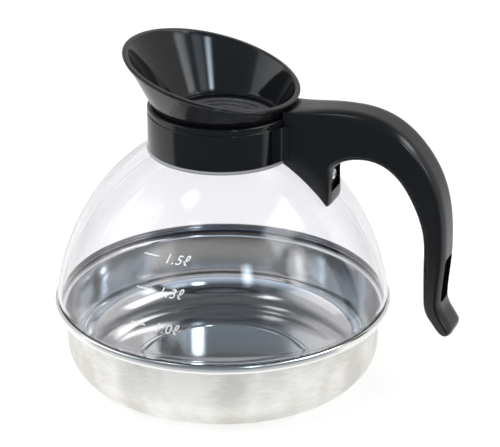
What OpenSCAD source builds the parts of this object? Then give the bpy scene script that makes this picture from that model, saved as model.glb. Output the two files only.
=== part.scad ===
// Coffee server carafe. A clear bowl is crimped onto a spun steel pan by a rolled steel band.
// A black collar snaps over the bowl's neck and carries the moulded handle on a screwed tang.
// A flared pouring funnel with a tilted rim lifts out of the collar.
// Millimetres, +Z up. The bowl's axis is Z, the pan stands on z = 0, the handle points along +X.

/* [Bowl] */
// Radius of the clear bowl at its widest level
bowl_r = 83.8; // [72:0.2:95]
// Height of the bowl's curve above its widest level
bowl_rise = 99.5; // [88:0.5:112]
// How far the widest level lies below the top of the crimped band
bowl_drop = 10.3; // [6:0.1:14]
// Squareness of the bowl's curve, where 2 is an ellipse
bowl_squareness = 1.9; // [1.8:0.05:2.1]
// Thickness of the bowl's wall
bowl_wall = 2; // [1.6:0.1:2.4]
// Outer radius of the bowl's neck
neck_r = 33; // [32:0.25:36]
// Height of the straight neck above the shoulder
neck_h = 13.8; // [12:0.1:18]
// How far the snap bead stands out of the neck
neck_bead = 0.8; // [0.5:0.1:1]

/* [Steel pan and crimped band] */
// Height of the pan's flange above the table
pan_h = 37.25; // [30:0.25:45]
// Thickness of the pan's sheet steel
pan_t = 0.8; // [0.6:0.1:1.2]
// Width of the rounded corner between the pan's floor and wall
pan_corner_w = 18.2; // [12:0.2:24]
// Height of that corner
pan_corner_h = 18.4; // [12:0.2:24]
// How far the pan's wall leans out from the corner to its top
pan_draft = 0.7; // [0.2:0.1:1.5]
// Width of the pan's flange
pan_flange_w = 3.7; // [3.2:0.1:4.6]
// Sheet thickness of the crimped band
band_t = 0.5; // [0.4:0.05:0.7]
// Radius of the band's rolled edges
band_roll = 1.3; // [1:0.1:1.5]
// Thickness of the seal between bowl and pan
rim_seal_t = 1; // [0.8:0.1:1.6]
// Thickness of the bowl's rim flange
rim_flange_t = 1.6; // [1.3:0.1:2.4]

/* [Collar] */
// Thickness of the collar's wall
collar_wall = 3.35; // [2.8:0.05:4.5]
// How far the collar stands above the bowl's neck
collar_over = 7.2; // [6.5:0.1:9]
// Thickness of the pad between the collar and the bowl's shoulder
neck_pad_t = 1.4; // [1:0.1:2]
// Width of the decorative groove round the collar's top
collar_groove_w = 0.8; // [0.5:0.1:1.2]
// Depth of that groove
collar_groove_depth = 0.6; // [0.3:0.1:0.9]
// Distance from the collar's top edge to that groove
collar_groove_drop = 2.5; // [1.6:0.1:3.5]

/* [Funnel] */
// How far the foot of the funnel's cone stands out past the neck
funnel_foot_out = 1.2; // [0.8:0.1:2]
// Lean of the cone's wall from the vertical, in degrees
funnel_flare = 27.5; // [22:0.5:32]
// Thickness of the cone's wall
funnel_wall = 2.2; // [1.8:0.1:2.6]
// Height of the rim above the cone's foot, measured on the axis
funnel_h = 15.5; // [14:0.5:22]
// Tilt of the rim, high on the pouring side, in degrees
funnel_tilt = 13.5; // [6:0.5:15]
// Height of the bead round the rim
rim_bead_h = 2.2; // [1.4:0.1:3]
// How far that bead stands out of the cone
rim_bead_out = 0.8; // [0.4:0.1:1.2]
// Wall of the spigot that enters the bowl's neck
spigot_wall = 2.4; // [2:0.1:2.8]
// Length of the spigot below its shoulder
spigot_h = 10.8; // [10.4:0.2:12]

/* [Strainer] */
// Number of rings in the strainer
strainer_rings = 3; // [2:1:4]
// Width of the slots between the rings
strainer_slot = 2; // [1.4:0.1:2.2]
// Width of each ring
strainer_ring_w = 2.9; // [2.4:0.1:3.2]
// Number of spokes that join the rings
strainer_spokes = 4; // [3:1:6]
// Thickness of the strainer's plate
strainer_t = 1.6; // [1.2:0.1:1.8]

/* [Handle] */
// Width of the handle from side to side
handle_w = 20; // [17:0.5:24]
// Finger room between the bowl's widest level and the grip
grip_gap = 22.4; // [20:0.4:30]
// Thickness of the grip
grip_t = 11.2; // [9.6:0.2:13]
// Height of the handle's lowest tip above the table
tip_z = 40.2; // [34:0.2:48]
// How far the handle's top starts above the collar
top_over = 4; // [3:0.1:4.4]
// How far the handle's top rises from there to its crest
crest_over = 3.5; // [2:0.1:6]
// Depth of the rounding of the handle's long edges
edge_r = 3.6; // [2:0.1:4]
// Width of that rounding across the handle
edge_w = 6; // [3:0.1:7]
// Distance from the collar to the lug's finger side
lug_reach = 22.8; // [22:0.2:25]
// Depth of the handle's root at the arch over the fingers
arch_depth = 24.4; // [21.6:0.2:26]
// Length of the pocket in the back of the grip
pocket_h = 23; // [14:0.5:26]
// Width of that pocket
pocket_w = 11.4; // [8:0.2:12.4]
// Depth of that pocket
pocket_depth = 5.4; // [4.4:0.1:6]

/* [Screws] */
// Radius of the screws' shanks
screw_r = 1.25; // [1:0.05:1.5]
// Length of the screws' shanks
screw_l = 6.2; // [5.6:0.1:6.4]
// Radius of the screws' heads
screw_head_r = 2.7; // [2.2:0.1:3.2]
// Height of the screws' heads
screw_head_h = 1.8; // [1.4:0.1:2.2]
// Outer radius of the threaded inserts
insert_r = 2.1; // [1.9:0.1:2.4]
// Length of the threaded inserts
insert_l = 3.6; // [3.4:0.1:4.4]

/* [Hidden] */

// Steps round a revolved piece, and along the bowl's curve and other curves
round_steps = 96;
bowl_steps = 26;
arc_steps = 6;
curve_steps = 6;
edge_steps = 3;
// How far a cut runs past the face that it opens
overrun = 1;
// Gap between flat faces that sit on each other
seat_gap = 0.05;
// Gap between the collar's bore and the neck, and between tang and socket
fit_gap = 0.15;
// Radial clearance of the funnel's seal in the neck, a running fit
seal_clear = 0.05;

// Joint of bowl and pan, from the table upwards
pan_top = pan_h + pan_t;
rim_seal_z = pan_top + seat_gap;
rim_z = rim_seal_z + rim_seal_t + seat_gap;
rim_top = rim_z + rim_flange_t;
band_low = pan_h - seat_gap - band_t;
band_top = rim_top + seat_gap + band_t;

// Radii of that joint, from the bowl inwards
flange_setback = 0.9;
flange_grip = 1.2;
band_room = 0.8;
band_lip_gap = 0.7;
flange_r = bowl_r - flange_setback;
groove_r = flange_r - flange_grip;
band_r = flange_r + band_room + band_t;
pan_wall_r = flange_r - pan_flange_w;
pan_bend = 1.6;
seal_inset = 0.1;
rim_seal_in = pan_wall_r + pan_bend - seal_inset;

// Stiffening bead pressed into the pan's floor
pan_bead_r = 44;
pan_bead_w = 4;
pan_bead_h = 0.7;

// Levels of the bowl
bowl_z = band_top - bowl_drop;
bore_r = neck_r - bowl_wall;
shoulder_z = curve_level(neck_r, 0);
neck_top = shoulder_z + neck_h;
neck_chamfer = 0.5;
tuck_h = 1.8;
tuck_start = 0.4;
thick_rim_h = 7;
bead_drop = 3.2;
bead_h = 2.4;
bead_z = neck_top - bead_drop;

// Collar and the pad under it
collar_bore = neck_r + fit_gap;
collar_r = collar_bore + collar_wall;
mouth_room = 1.1;
mouth_r = neck_r + mouth_room;
collar_top = neck_top + collar_over;
collar_round = 0.8;
pad_out = 0.4;
pad_in = 1.4;
pad_low = neck_pad_t + seat_gap;
collar_low = pad_low + seat_gap;
cheek_angle = 29;
cheek_out = 0.9;
cheek_run = 2.2;
cheek_edge = 0.3;
cheek_pull = 3;

// Funnel, from its spigot upwards
funnel_seat = 0.1;
funnel_lift_gap = 0.4;
funnel_r = neck_r + funnel_foot_out;
plug_gap = 0.5;
spigot_gap = 1.4;
plug_r = mouth_r - plug_gap;
spigot_r = bore_r - spigot_gap;
throat_r = spigot_r - spigot_wall;
plug_z = neck_top + funnel_seat;
spigot_low = plug_z - spigot_h;
cone_z = collar_top + funnel_lift_gap;
cone_top = cone_z + 2 * funnel_h;
ledge_rise = 1.8;
ledge_z = plug_z + ledge_rise;
seal_groove_rise = 2;
seal_groove_h = 2.4;
seal_groove_depth = 0.8;
seal_groove_z = spigot_low + seal_groove_rise;
seal_play = 0.1;
seal_ridge = 0.6;

// Ledge inside the spigot and the strainer on it
strainer_drop = 2.2;
strainer_lip_w = 1.6;
strainer_lip_h = 1.2;
strainer_z = plug_z - strainer_drop;
strainer_r = throat_r - fit_gap;
strainer_crest = 0.6;
strainer_crest_share = 0.25;
strainer_spoke_w = 3;

// Two pads on the funnel's outside
grip_pad_angle = 41;
grip_pad_span = 25;
grip_pad_rise = 2.6;
grip_pad_h = 4.2;
grip_pad_out = 0.7;

// Handle
root_r = collar_r + fit_gap;
root_top = collar_top + top_over;
crest_z = root_top + crest_over;
grip_x = bowl_r + grip_gap;
spine_x = grip_x + grip_t;
handle_run = spine_x - root_r;
handle_fall = crest_z - tip_z;
arch_z = crest_z - arch_depth;
lug_x = collar_r + lug_reach;
lug_gap = 0.5;
lug_bury = 1.6;
side_gap = lug_gap - lug_bury;
lug_tip_r = 1.8;
lug_tip_w = 3.6;
lug_side_h = 4;
arch_drop = 10.4;
arch_shift = 6.4;
tip_out = 2.9;
tip_flare = 4;
spine_waist = 1.8;
grip_belly = 0.3;
palm_lean = 4.6;
crest_share = 0.375;
turn_share = 0.803;
pull_share = 0.38;
pocket_rise = 28;
pocket_round = 2.4;

// Tang in its socket, and the recess for the screws
socket_wall = 1.2;
tang_w = 10;
tang_top_drop = 4;
tang_end_wall = 2.8;
recess_depth = 2.2;
recess_w = 13;
recess_low = 7;
head_room = 0.3;
recess_end_angle = 112;
floor_x = lug_x - recess_depth;
tang_x = floor_x - tang_end_wall;
tang_z = collar_top - tang_top_drop;
screw_gap = 0.2;
thread_gap = 0.05;
screw_top_drop = 5.6;
screw_end_gap = 0.4;
insert_wall = 0.9;
tang_gap = lug_gap + socket_wall + fit_gap;
screw_z = curve_level(tang_x - insert_l, tang_gap) + insert_wall + insert_r;
screw_pitch = arch_z - screw_top_drop - screw_z;
drive_w = 0.9;
drive_l = 3.4;
drive_depth = 1;
insert_collar = 0.6;
insert_groove = 0.3;

// Radius of the bowl's curve at level z, with the curve moved outwards by grow
function curve_radius(z, grow) =
    let (share = max(0, z - bowl_z) / (bowl_rise + grow))
    (bowl_r + grow) * pow(1 - pow(share, bowl_squareness), 1 / bowl_squareness);

// Level of that curve at radius r
function curve_level(r, grow) =
    let (share = r / (bowl_r + grow))
    bowl_z + (bowl_rise + grow) * pow(1 - pow(share, bowl_squareness), 1 / bowl_squareness);

// Angle of the curve's parameter at level z
function curve_angle(z, grow) = asin(pow((z - bowl_z) / (bowl_rise + grow), bowl_squareness / 2));

// Points of the curve from level z0 up to level z1
function curve_points(z0, z1, grow, steps) =
    let (a0 = curve_angle(z0, grow), a1 = curve_angle(z1, grow))
    [for (i = [0:steps]) let (a = a0 + (a1 - a0) * i / steps)
        [(bowl_r + grow) * pow(cos(a), 2 / bowl_squareness),
            bowl_z + (bowl_rise + grow) * pow(sin(a), 2 / bowl_squareness)]];

// Points of an elliptical arc
function arc(cx, cy, rx, ry, a0, a1, steps = arc_steps) =
    [for (i = [0:steps]) let (a = a0 + (a1 - a0) * i / steps) [cx + rx * cos(a), cy + ry * sin(a)]];

function reversed(points) = [for (i = [len(points) - 1:-1:0]) points[i]];

// Point on a cubic curve
function cubic(p0, p1, p2, p3, t) =
    pow(1 - t, 3) * p0 + 3 * t * pow(1 - t, 2) * p1 + 3 * t * t * (1 - t) * p2 + pow(t, 3) * p3;

// Turns a profile of [radius, level] points into a solid of revolution
module spun(profile) {
    rotate_extrude($fn = round_steps) polygon(profile);
}

// Extrudes an outline of [x, z] points to both sides of the XZ plane
module plate(outline, width) {
    rotate([90, 0, 0]) linear_extrude(width, center = true) polygon(outline);
}

// Clear bowl: rim flange, tucked groove for the band, curved wall, neck with its snap bead
module bowl() {
    start_z = band_top + tuck_h;
    low_z = band_top + thick_rim_h;
    low_r = curve_radius(low_z, -bowl_wall);
    tuck_w = curve_radius(start_z, 0) - groove_r;
    inner_shoulder_z = curve_level(bore_r, -bowl_wall);
    outside = concat(
        [[flange_r, rim_z], [flange_r, rim_top], [groove_r, rim_top]],
        arc(groove_r, start_z, tuck_w, tuck_h - tuck_start, -90, 0),
        curve_points(start_z, shoulder_z, 0, bowl_steps),
        arc(neck_r, bead_z, neck_bead, bead_h / 2, -90, 90),
        [[neck_r, neck_top - neck_chamfer], [neck_r - neck_chamfer, neck_top]]);
    inside = concat(
        [[low_r, rim_z]],
        curve_points(low_z, inner_shoulder_z, -bowl_wall, bowl_steps),
        [[bore_r, neck_top]]);
    color("lavender", 0.35) spun(concat(outside, reversed(inside)));
}

// Flat rubber seal between the two flanges
module rim_seal() {
    color("dimgray") translate([0, 0, rim_seal_z]) difference() {
        cylinder(r = flange_r - seal_inset, h = rim_seal_t, $fn = round_steps);
        translate([0, 0, -overrun])
            cylinder(r = rim_seal_in, h = rim_seal_t + 2 * overrun, $fn = round_steps);
    }
}

// Half of the pan's sheet as a line, moved inwards by the sheet's thickness where inner is 1
function pan_line(inner) =
    let (
        t = inner * pan_t,
        corner_r = pan_wall_r - pan_draft,
        bend = pan_bend + t)
    concat(
        [[0, t]],
        arc(pan_bead_r, t, pan_bead_w / 2, pan_bead_h, 180, 0),
        arc(corner_r - pan_corner_w, pan_corner_h, pan_corner_w - t, pan_corner_h - t, -90, 0, curve_steps),
        arc(pan_wall_r + pan_bend, pan_h - pan_bend, bend, bend, 180, 90),
        [[flange_r, pan_h + t]]);

// Spun steel pan with a pressed bead in its floor and an out-turned flange
module base_pan() {
    color("silver") spun(concat(pan_line(0), reversed(pan_line(1))));
}

// Steel band rolled round both flanges
module crimp_band() {
    lip_r = groove_r + band_lip_gap;
    foot_r = pan_wall_r + pan_bend;
    roll_x = band_r - band_roll;
    inner_roll = band_roll - band_t;
    outside = concat(
        [[foot_r, band_low]],
        arc(roll_x, band_low + band_roll, band_roll, band_roll, -90, 0),
        arc(roll_x, band_top - band_roll, band_roll, band_roll, 0, 90),
        [[lip_r, band_top]]);
    inside = concat(
        [[foot_r, band_low + band_t]],
        arc(roll_x, band_low + band_roll, inner_roll, inner_roll, -90, 0),
        arc(roll_x, band_top - band_roll, inner_roll, inner_roll, 0, 90),
        [[lip_r, band_top - band_t]]);
    color("lightgray") spun(concat(outside, reversed(inside)));
}

// Translucent pad that seats the collar on the bowl's shoulder
module neck_pad() {
    in_r = neck_r + pad_in;
    out_r = collar_r + pad_out;
    color("gray") spun([
        [in_r, curve_level(in_r, 0) + seat_gap], [out_r, curve_level(out_r, 0) + seat_gap],
        [out_r, curve_level(out_r, 0) + pad_low], [in_r, curve_level(in_r, 0) + pad_low]]);
}

// Collar: band with a groove under its rounded top edge, a bead groove in its bore, and a tang
// and two cheeks for the handle
module collar() {
    bead_room = neck_bead + fit_gap;
    in_r = neck_r + pad_in;
    groove_top = collar_top - collar_groove_drop;
    floor_r = collar_r - collar_groove_depth;
    outside = concat(
        [[collar_bore, curve_level(in_r, 0) + collar_low], [in_r, curve_level(in_r, 0) + collar_low],
            [collar_r, curve_level(collar_r, 0) + collar_low],
            [collar_r, groove_top - collar_groove_w], [floor_r, groove_top - collar_groove_w],
            [floor_r, groove_top], [collar_r, groove_top]],
        arc(collar_r - collar_round, collar_top - collar_round, collar_round, collar_round, 0, 90));
    inside = concat(
        arc(collar_bore, bead_z, bead_room - fit_gap, bead_h / 2 + fit_gap, -90, 90),
        [[collar_bore, neck_top + seat_gap], [mouth_r, neck_top + seat_gap], [mouth_r, collar_top]]);
    color([0.12, 0.12, 0.13]) union() {
        spun(concat(outside, reversed(inside)));
        cheek();
        mirror([0, 1, 0]) cheek();
        difference() {
            plate(tang_outline(0), tang_w);
            cylinder(r = (collar_bore + collar_r) / 2, h = crest_z, $fn = round_steps);
            at_screws() insert_seat();
        }
    }
}

// Cheek that spreads from the collar's side to the handle's side, below the groove
module cheek() {
    mid_r = (collar_bore + collar_r) / 2;
    low = curve_level(neck_r + pad_in, 0) + collar_low;
    high = collar_top - collar_groove_drop - collar_groove_w;
    spread = [cos(cheek_angle), sin(cheek_angle)];
    side_y = handle_w / 2 + fit_gap;
    edge = (collar_r + cheek_out) * spread;
    end = [root_r + cheek_run, side_y + cheek_edge];
    leave = edge + cheek_pull * [spread[1], -spread[0]];
    flank = [for (j = [0:curve_steps]) cubic(edge, leave, end - [cheek_pull, 0], end, j / curve_steps)];
    side_x = sqrt(mid_r * mid_r - side_y * side_y);
    translate([0, 0, low]) linear_extrude(high - low)
        polygon(concat([mid_r * spread], flank, [[end[0], side_y], [side_x, side_y]]));
}

// Outline of the tang, grown all round for its socket
function tang_outline(grow) =
    let (curve_gap = tang_gap - grow)
    concat(
        [for (i = [0:curve_steps]) let (x = bore_r + (tang_x + grow - bore_r) * i / curve_steps)
            [x, curve_level(x, curve_gap)]],
        [[tang_x + grow, tang_z + grow], [bore_r, tang_z + grow]]);

// Puts its children on both screws' axes, with +Z towards the fingers and z = 0 on the recess floor
module at_screws() {
    for (i = [0:1])
        translate([floor_x, 0, screw_z + screw_pitch * i]) rotate([0, 90, 0]) children();
}

// Space that one threaded insert fills in the tang
module insert_seat() {
    translate([0, 0, tang_x - floor_x - insert_l])
        cylinder(r = insert_r + seat_gap, h = insert_l + overrun, $fn = round_steps);
    translate([0, 0, -screw_l - screw_end_gap])
        cylinder(r = screw_r + screw_gap, h = screw_l, $fn = round_steps);
}

// Brass insert with a collar and a waist, bored for the screw
module threaded_inserts() {
    outer = [
        [screw_r + thread_gap, 0], [insert_r, 0], [insert_r, insert_l / 2 - insert_collar],
        [insert_r - insert_groove, insert_l / 2 - insert_collar],
        [insert_r - insert_groove, insert_l / 2 + insert_collar],
        [insert_r, insert_l / 2 + insert_collar], [insert_r, insert_l], [screw_r + thread_gap, insert_l]];
    color("goldenrod") at_screws() translate([0, 0, tang_x - floor_x - insert_l]) spun(outer);
}

// Pan-head screws with a cross recess
module handle_screws() {
    head = concat(
        [[0, -screw_l], [screw_r, -screw_l], [screw_r, seat_gap], [screw_head_r, seat_gap]],
        arc(0, screw_head_h / 2, screw_head_r, screw_head_h / 2, 0, 90));
    color("silver") at_screws() difference() {
        spun(head);
        for (turn = [0, 90])
            rotate(turn) translate([-drive_l / 2, -drive_w / 2, screw_head_h - drive_depth])
                cube([drive_l, drive_w, drive_depth + overrun]);
    }
}

// Radius of the cone's outside at level z, moved outwards by grow
function cone_radius(z, grow) = funnel_r + grow + (z - cone_z) * tan(funnel_flare);

// Solid cone of the funnel's outside, moved outwards by grow
module cone_solid(grow) {
    spun([[0, cone_z], [cone_radius(cone_z, grow), cone_z], [cone_radius(cone_top, grow), cone_top],
        [0, cone_top]]);
}

// Slab under the tilted rim plane, from drop below it down by height
module under_rim(drop, height) {
    side = 2 * cone_radius(cone_top, rim_bead_out);
    translate([0, 0, cone_z + funnel_h]) rotate([0, funnel_tilt, 0])
        translate([-side, -side, -drop - height]) cube([2 * side, 2 * side, height]);
}

// Wedge of the funnel's outside that one grip pad fills
module pad_wedge(angle) {
    reach = cone_radius(cone_top, rim_bead_out);
    half = grip_pad_span / 2;
    rotate(angle) translate([0, 0, cone_z + grip_pad_rise]) linear_extrude(grip_pad_h)
        polygon([[0, 0], [reach * cos(half), -reach * sin(half)], [reach * cos(half), reach * sin(half)]]);
}

// Pouring funnel: cone with a beaded, tilted rim, plug in the collar's mouth, spigot in the neck
module funnel() {
    lip_z = strainer_z - seat_gap;
    lip_r = throat_r - strainer_lip_w;
    groove_r_in = spigot_r - seal_groove_depth;
    plug = [
        [0, spigot_low], [spigot_r, spigot_low], [spigot_r, seal_groove_z], [groove_r_in, seal_groove_z],
        [groove_r_in, seal_groove_z + seal_groove_h], [spigot_r, seal_groove_z + seal_groove_h],
        [spigot_r, plug_z], [plug_r, plug_z], [plug_r, cone_z], [0, cone_z]];
    void_profile = [
        [0, spigot_low - overrun], [throat_r, spigot_low - overrun],
        [throat_r, lip_z - strainer_lip_h - strainer_lip_w], [lip_r, lip_z - strainer_lip_h],
        [lip_r, lip_z], [throat_r, lip_z], [throat_r, ledge_z],
        [cone_radius(ledge_z, -funnel_wall), ledge_z],
        [cone_radius(cone_top + overrun, -funnel_wall), cone_top + overrun], [0, cone_top + overrun]];
    color([0.1, 0.1, 0.11]) difference() {
        union() {
            spun(plug);
            intersection() {
                cone_solid(0);
                under_rim(0, 2 * cone_top);
            }
            intersection() {
                cone_solid(rim_bead_out);
                under_rim(0, rim_bead_h);
            }
            intersection() {
                cone_solid(grip_pad_out);
                union() {
                    pad_wedge(grip_pad_angle);
                    pad_wedge(-grip_pad_angle);
                }
            }
        }
        spun(void_profile);
    }
}

// Ring seal with two ridges that run in the bowl's neck
module funnel_seal() {
    low = seal_groove_z + seal_play;
    high = seal_groove_z + seal_groove_h - seal_play;
    middle = (low + high) / 2;
    in_r = spigot_r - seal_groove_depth + seal_play;
    out_r = bore_r - seal_clear;
    ridge_h = (high - low) / 4;
    color("dimgray") spun(concat(
        [[in_r, low]],
        [[out_r - seal_ridge, low], [out_r, low + ridge_h / 2], [out_r, low + ridge_h],
            [out_r - seal_ridge, middle], [out_r, high - ridge_h], [out_r, high - ridge_h / 2],
            [out_r - seal_ridge, high], [in_r, high]]));
}

// Strainer of crested rings joined by spokes, with an open eye in the middle
module strainer() {
    pitch = strainer_ring_w + strainer_slot;
    eye_r = strainer_r - strainer_rings * pitch + strainer_slot;
    shoulder = strainer_ring_w * strainer_crest_share;
    crest_z0 = strainer_z + strainer_t;
    color([0.3, 0.3, 0.32]) union() {
        for (i = [0:strainer_rings - 1]) {
            out_r = strainer_r - i * pitch;
            in_r = out_r - strainer_ring_w;
            spun([[in_r, strainer_z], [out_r, strainer_z], [out_r, crest_z0],
                [out_r - shoulder, crest_z0 + strainer_crest], [in_r + shoulder, crest_z0 + strainer_crest],
                [in_r, crest_z0]]);
        }
        difference() {
            for (i = [0:strainer_spokes - 1])
                rotate(360 * (i + 1 / 2) / strainer_spokes)
                    translate([0, -strainer_spoke_w / 2, strainer_z])
                        cube([strainer_r - shoulder, strainer_spoke_w, strainer_t]);
            translate([0, 0, strainer_z - overrun])
                cylinder(r = eye_r, h = strainer_t + 2 * overrun, $fn = round_steps);
        }
    }
}

// Outline of the handle in the XZ plane, clockwise seen from -Y. It runs along the back to the tip,
// up the grip's inside, round the arch and down the lug, and just inside the bowl back to the root.
// A station is [x, z, heading, share of edge_r], and cubic curves join the stations.
back_shares = [0, 0.137, 0.6, 0.84, 0.962];
grip_shares = [0.934, 0.8, 0.635, 0.424];
back_x = [root_r + crest_share * handle_run, root_r + turn_share * handle_run,
    spine_x, spine_x - spine_waist, spine_x + tip_flare];
grip_side_x = [grip_x + tip_flare, grip_x + grip_belly, grip_x, grip_x - palm_lean];
root_x = collar_bore;
arch_x = (lug_x + grip_x) / 2 - arch_shift;
lug_low_x = lug_x - lug_tip_r;
lug_low_z = curve_level(lug_low_x, side_gap);
join_x = lug_low_x - lug_tip_w;

function back_at(i) = [back_x[i], crest_z - back_shares[i] * handle_fall];
function grip_at(i) = [grip_side_x[i], crest_z - grip_shares[i] * handle_fall];
function station(p, heading, share) = [p[0], p[1], heading, share];
function curve_heading(x, grow) =
    atan2(curve_level(x - overrun, grow) - curve_level(x, grow), -overrun);

stations = [
    station([root_x, root_top], 4, 0),
    station(back_at(0), 0, 1),
    station(back_at(1), -48, 1),
    station(back_at(2), -90, 1),
    station(back_at(3), -92, 0.8),
    station(back_at(4), -62, 0.6),
    station([spine_x + tip_out, tip_z], -150, 0.6),
    station(grip_at(0), 130, 0.7),
    station(grip_at(1), 92, 0.9),
    station(grip_at(2), 90, 1),
    station(grip_at(3), 114, 1),
    station([arch_x, arch_z], 180, 1),
    station([lug_x, arch_z - arch_drop], -91, 0.8),
    station([lug_x, lug_low_z + lug_side_h], -91, 0.4),
    station([lug_low_x, lug_low_z], 172, 0.3),
    station([join_x, curve_level(join_x, side_gap)], curve_heading(join_x, side_gap), 0.3)];

// Points of the run from station a to station b: [x, z, inward x, inward z, share of edge_r]
function run_points(a, b) =
    let (
        p0 = [a[0], a[1]],
        p3 = [b[0], b[1]],
        pull = norm(p3 - p0) * pull_share,
        p1 = p0 + pull * [cos(a[2]), sin(a[2])],
        p2 = p3 - pull * [cos(b[2]), sin(b[2])])
    [for (j = [0:curve_steps - 1])
        let (
            t = j / curve_steps,
            p = cubic(p0, p1, p2, p3, t),
            d = cubic_slope(p0, p1, p2, p3, t))
        [p[0], p[1], d[1] / norm(d), -d[0] / norm(d), a[3] + (b[3] - a[3]) * t]];

// Direction of a cubic curve
function cubic_slope(p0, p1, p2, p3, t) =
    pow(1 - t, 2) * (p1 - p0) + 2 * t * (1 - t) * (p2 - p1) + t * t * (p3 - p2);

// Points along the bowl from the lug's join back to the root
function bowl_side_points() =
    [for (j = [0:curve_steps])
        let (
            x = join_x + (root_x - join_x) * j / curve_steps,
            h = curve_heading(x, side_gap),
            share = stations[len(stations) - 1][3] * (1 - j / curve_steps))
        [x, curve_level(x, side_gap), sin(h), -cos(h), share]];

function handle_outline() = concat(
    [for (i = [0:len(stations) - 2]) for (p = run_points(stations[i], stations[i + 1])) p],
    bowl_side_points());

// One ring of the handle's skin at edge angle a on the side that sign gives
function skin_ring(outline, sign, a) =
    [for (p = outline)
        let (inset = edge_r * p[4] * (1 - sin(a)))
        [p[0] + p[2] * inset, sign * (handle_w / 2 - edge_w * (1 - cos(a))), p[1] + p[3] * inset]];

// Whether q lies inside the clockwise triangle a, b, c
function covers(a, b, c, q) = cross(b - a, q - a) < 0 && cross(c - b, q - b) < 0 && cross(a - c, q - c) < 0;

// Whether the corner at place i of the clockwise outline can be cut off as a triangle
function is_ear(points, left, i) =
    let (
        n = len(left),
        a = points[left[(i + n - 1) % n]],
        b = points[left[i]],
        c = points[left[(i + 1) % n]])
    cross(b - a, c - b) < 0 && len([for (k = left) if (covers(a, b, c, points[k])) k]) == 0;

// Triangles that fill a clockwise outline, where left lists the corners that aren't cut off yet
function fill_triangles(points, left) =
    len(left) == 3 ? [left] :
    let (
        n = len(left),
        i = [for (k = [0:n - 1]) if (is_ear(points, left, k)) k][0])
    concat(
        [[left[(i + n - 1) % n], left[i], left[(i + 1) % n]]],
        fill_triangles(points, [for (k = [0:n - 1]) if (k != i) left[k]]));

// Handle's outer form: the outline with all its long edges rounded
module handle_form() {
    outline = handle_outline();
    n = len(outline);
    cap = fill_triangles([for (p = skin_ring(outline, -1, 0)) [p[0], p[2]]], [for (j = [0:n - 1]) j]);
    rings = 2 * (edge_steps + 1);
    near = [for (k = [0:edge_steps]) for (p = skin_ring(outline, -1, 90 * k / edge_steps)) p];
    far = [for (k = [edge_steps:-1:0]) for (p = skin_ring(outline, 1, 90 * k / edge_steps)) p];
    sides = [for (k = [0:rings - 2]) for (j = [0:n - 1])
        let (a = k * n + j, b = k * n + (j + 1) % n)
        for (face = [[a, a + n, b + n], [a, b + n, b]]) face];
    far_cap = [for (face = cap) [for (k = reversed(face)) (rings - 1) * n + k]];
    polyhedron(concat(near, far), concat(cap, far_cap, sides));
}

// Room of the bowl under the handle: its round shoulder, moved outwards by the lug's gap
module bowl_room() {
    low = lug_low_z - lug_side_h;
    high = curve_level(neck_r, lug_gap);
    spun(concat([[0, low]], curve_points(low, high, lug_gap, 2 * curve_steps), [[0, high]]));
}

// Recess on the lug's finger side, which runs up into the arch
module recess() {
    low = screw_z - recess_low;
    turn_z = arch_z - screw_top_drop + screw_head_r + head_room;
    turn_h = arch_z + recess_depth - turn_z;
    plate(concat(
        [[lug_x + overrun, low], [floor_x, low]],
        arc(arch_x, turn_z, arch_x - floor_x, turn_h, 180, recess_end_angle),
        [[arch_x, turn_z]]), recess_w);
}

// Pocket in the back of the grip above its tip
module pocket() {
    high = back_at(2);
    foot = back_at(3);
    middle = (high + foot) / 2;
    lean = atan2(high[0] - foot[0], high[1] - foot[1]);
    x = pocket_w / 2 - pocket_round;
    y = pocket_h / 2 - pocket_round;
    translate([middle[0] - pocket_depth, 0, tip_z + pocket_rise]) rotate([0, lean, 0]) rotate([90, 0, 90])
        linear_extrude(2 * pocket_depth) polygon(concat(
            arc(x, y, pocket_round, pocket_round, 0, 90),
            arc(-x, y, pocket_round, pocket_round, 90, 180),
            arc(-x, -y, pocket_round, pocket_round, 180, 270),
            arc(x, -y, pocket_round, pocket_round, 270, 360)));
}

// Moulded handle: root against the collar, socket for the tang, screwed lug, curved grip with a pocket
module handle() {
    pad_r = collar_r + pad_out + fit_gap;
    color([0.11, 0.11, 0.12]) difference() {
        handle_form();
        cylinder(r = root_r, h = crest_z + overrun, $fn = round_steps);
        cylinder(r = pad_r, h = curve_level(collar_r, 0) + collar_low, $fn = round_steps);
        bowl_room();
        plate(tang_outline(fit_gap), tang_w + 2 * fit_gap);
        recess();
        pocket();
        at_screws() translate([0, 0, -screw_l])
            cylinder(r = screw_r + screw_gap, h = screw_l + overrun, $fn = round_steps);
    }
}

bowl();
rim_seal();
base_pan();
crimp_band();
neck_pad();
collar();
funnel();
funnel_seal();
strainer();
handle();
threaded_inserts();
handle_screws();
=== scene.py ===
"""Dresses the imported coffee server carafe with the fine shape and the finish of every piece.

The loaded frame gives the places. Shapes are worked out in millimetres, on the frame's own axes,
and become metres when a mesh is made. The bowl's axis is Z and the handle points along +X.
"""

import math
from types import SimpleNamespace

import bmesh
import bpy
from bpy.props import FloatProperty, FloatVectorProperty, IntProperty, PointerProperty
from mathutils import Matrix, Vector


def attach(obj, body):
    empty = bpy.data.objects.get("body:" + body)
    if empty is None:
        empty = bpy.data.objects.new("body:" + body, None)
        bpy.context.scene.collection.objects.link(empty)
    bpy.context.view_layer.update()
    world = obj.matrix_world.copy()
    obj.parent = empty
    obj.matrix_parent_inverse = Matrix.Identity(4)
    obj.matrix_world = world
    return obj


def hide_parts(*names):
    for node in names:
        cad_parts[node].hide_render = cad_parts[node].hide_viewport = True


bl_info = {
    "name": "Coffee Server Carafe",
    "version": (1, 0, 0),
    "blender": (4, 5, 0),
    "location": "View3D > Sidebar > Carafe",
    "description": "Builds the pieces and the finishes of a coffee server carafe on its packed frame",
    "category": "Object",
}

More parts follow.
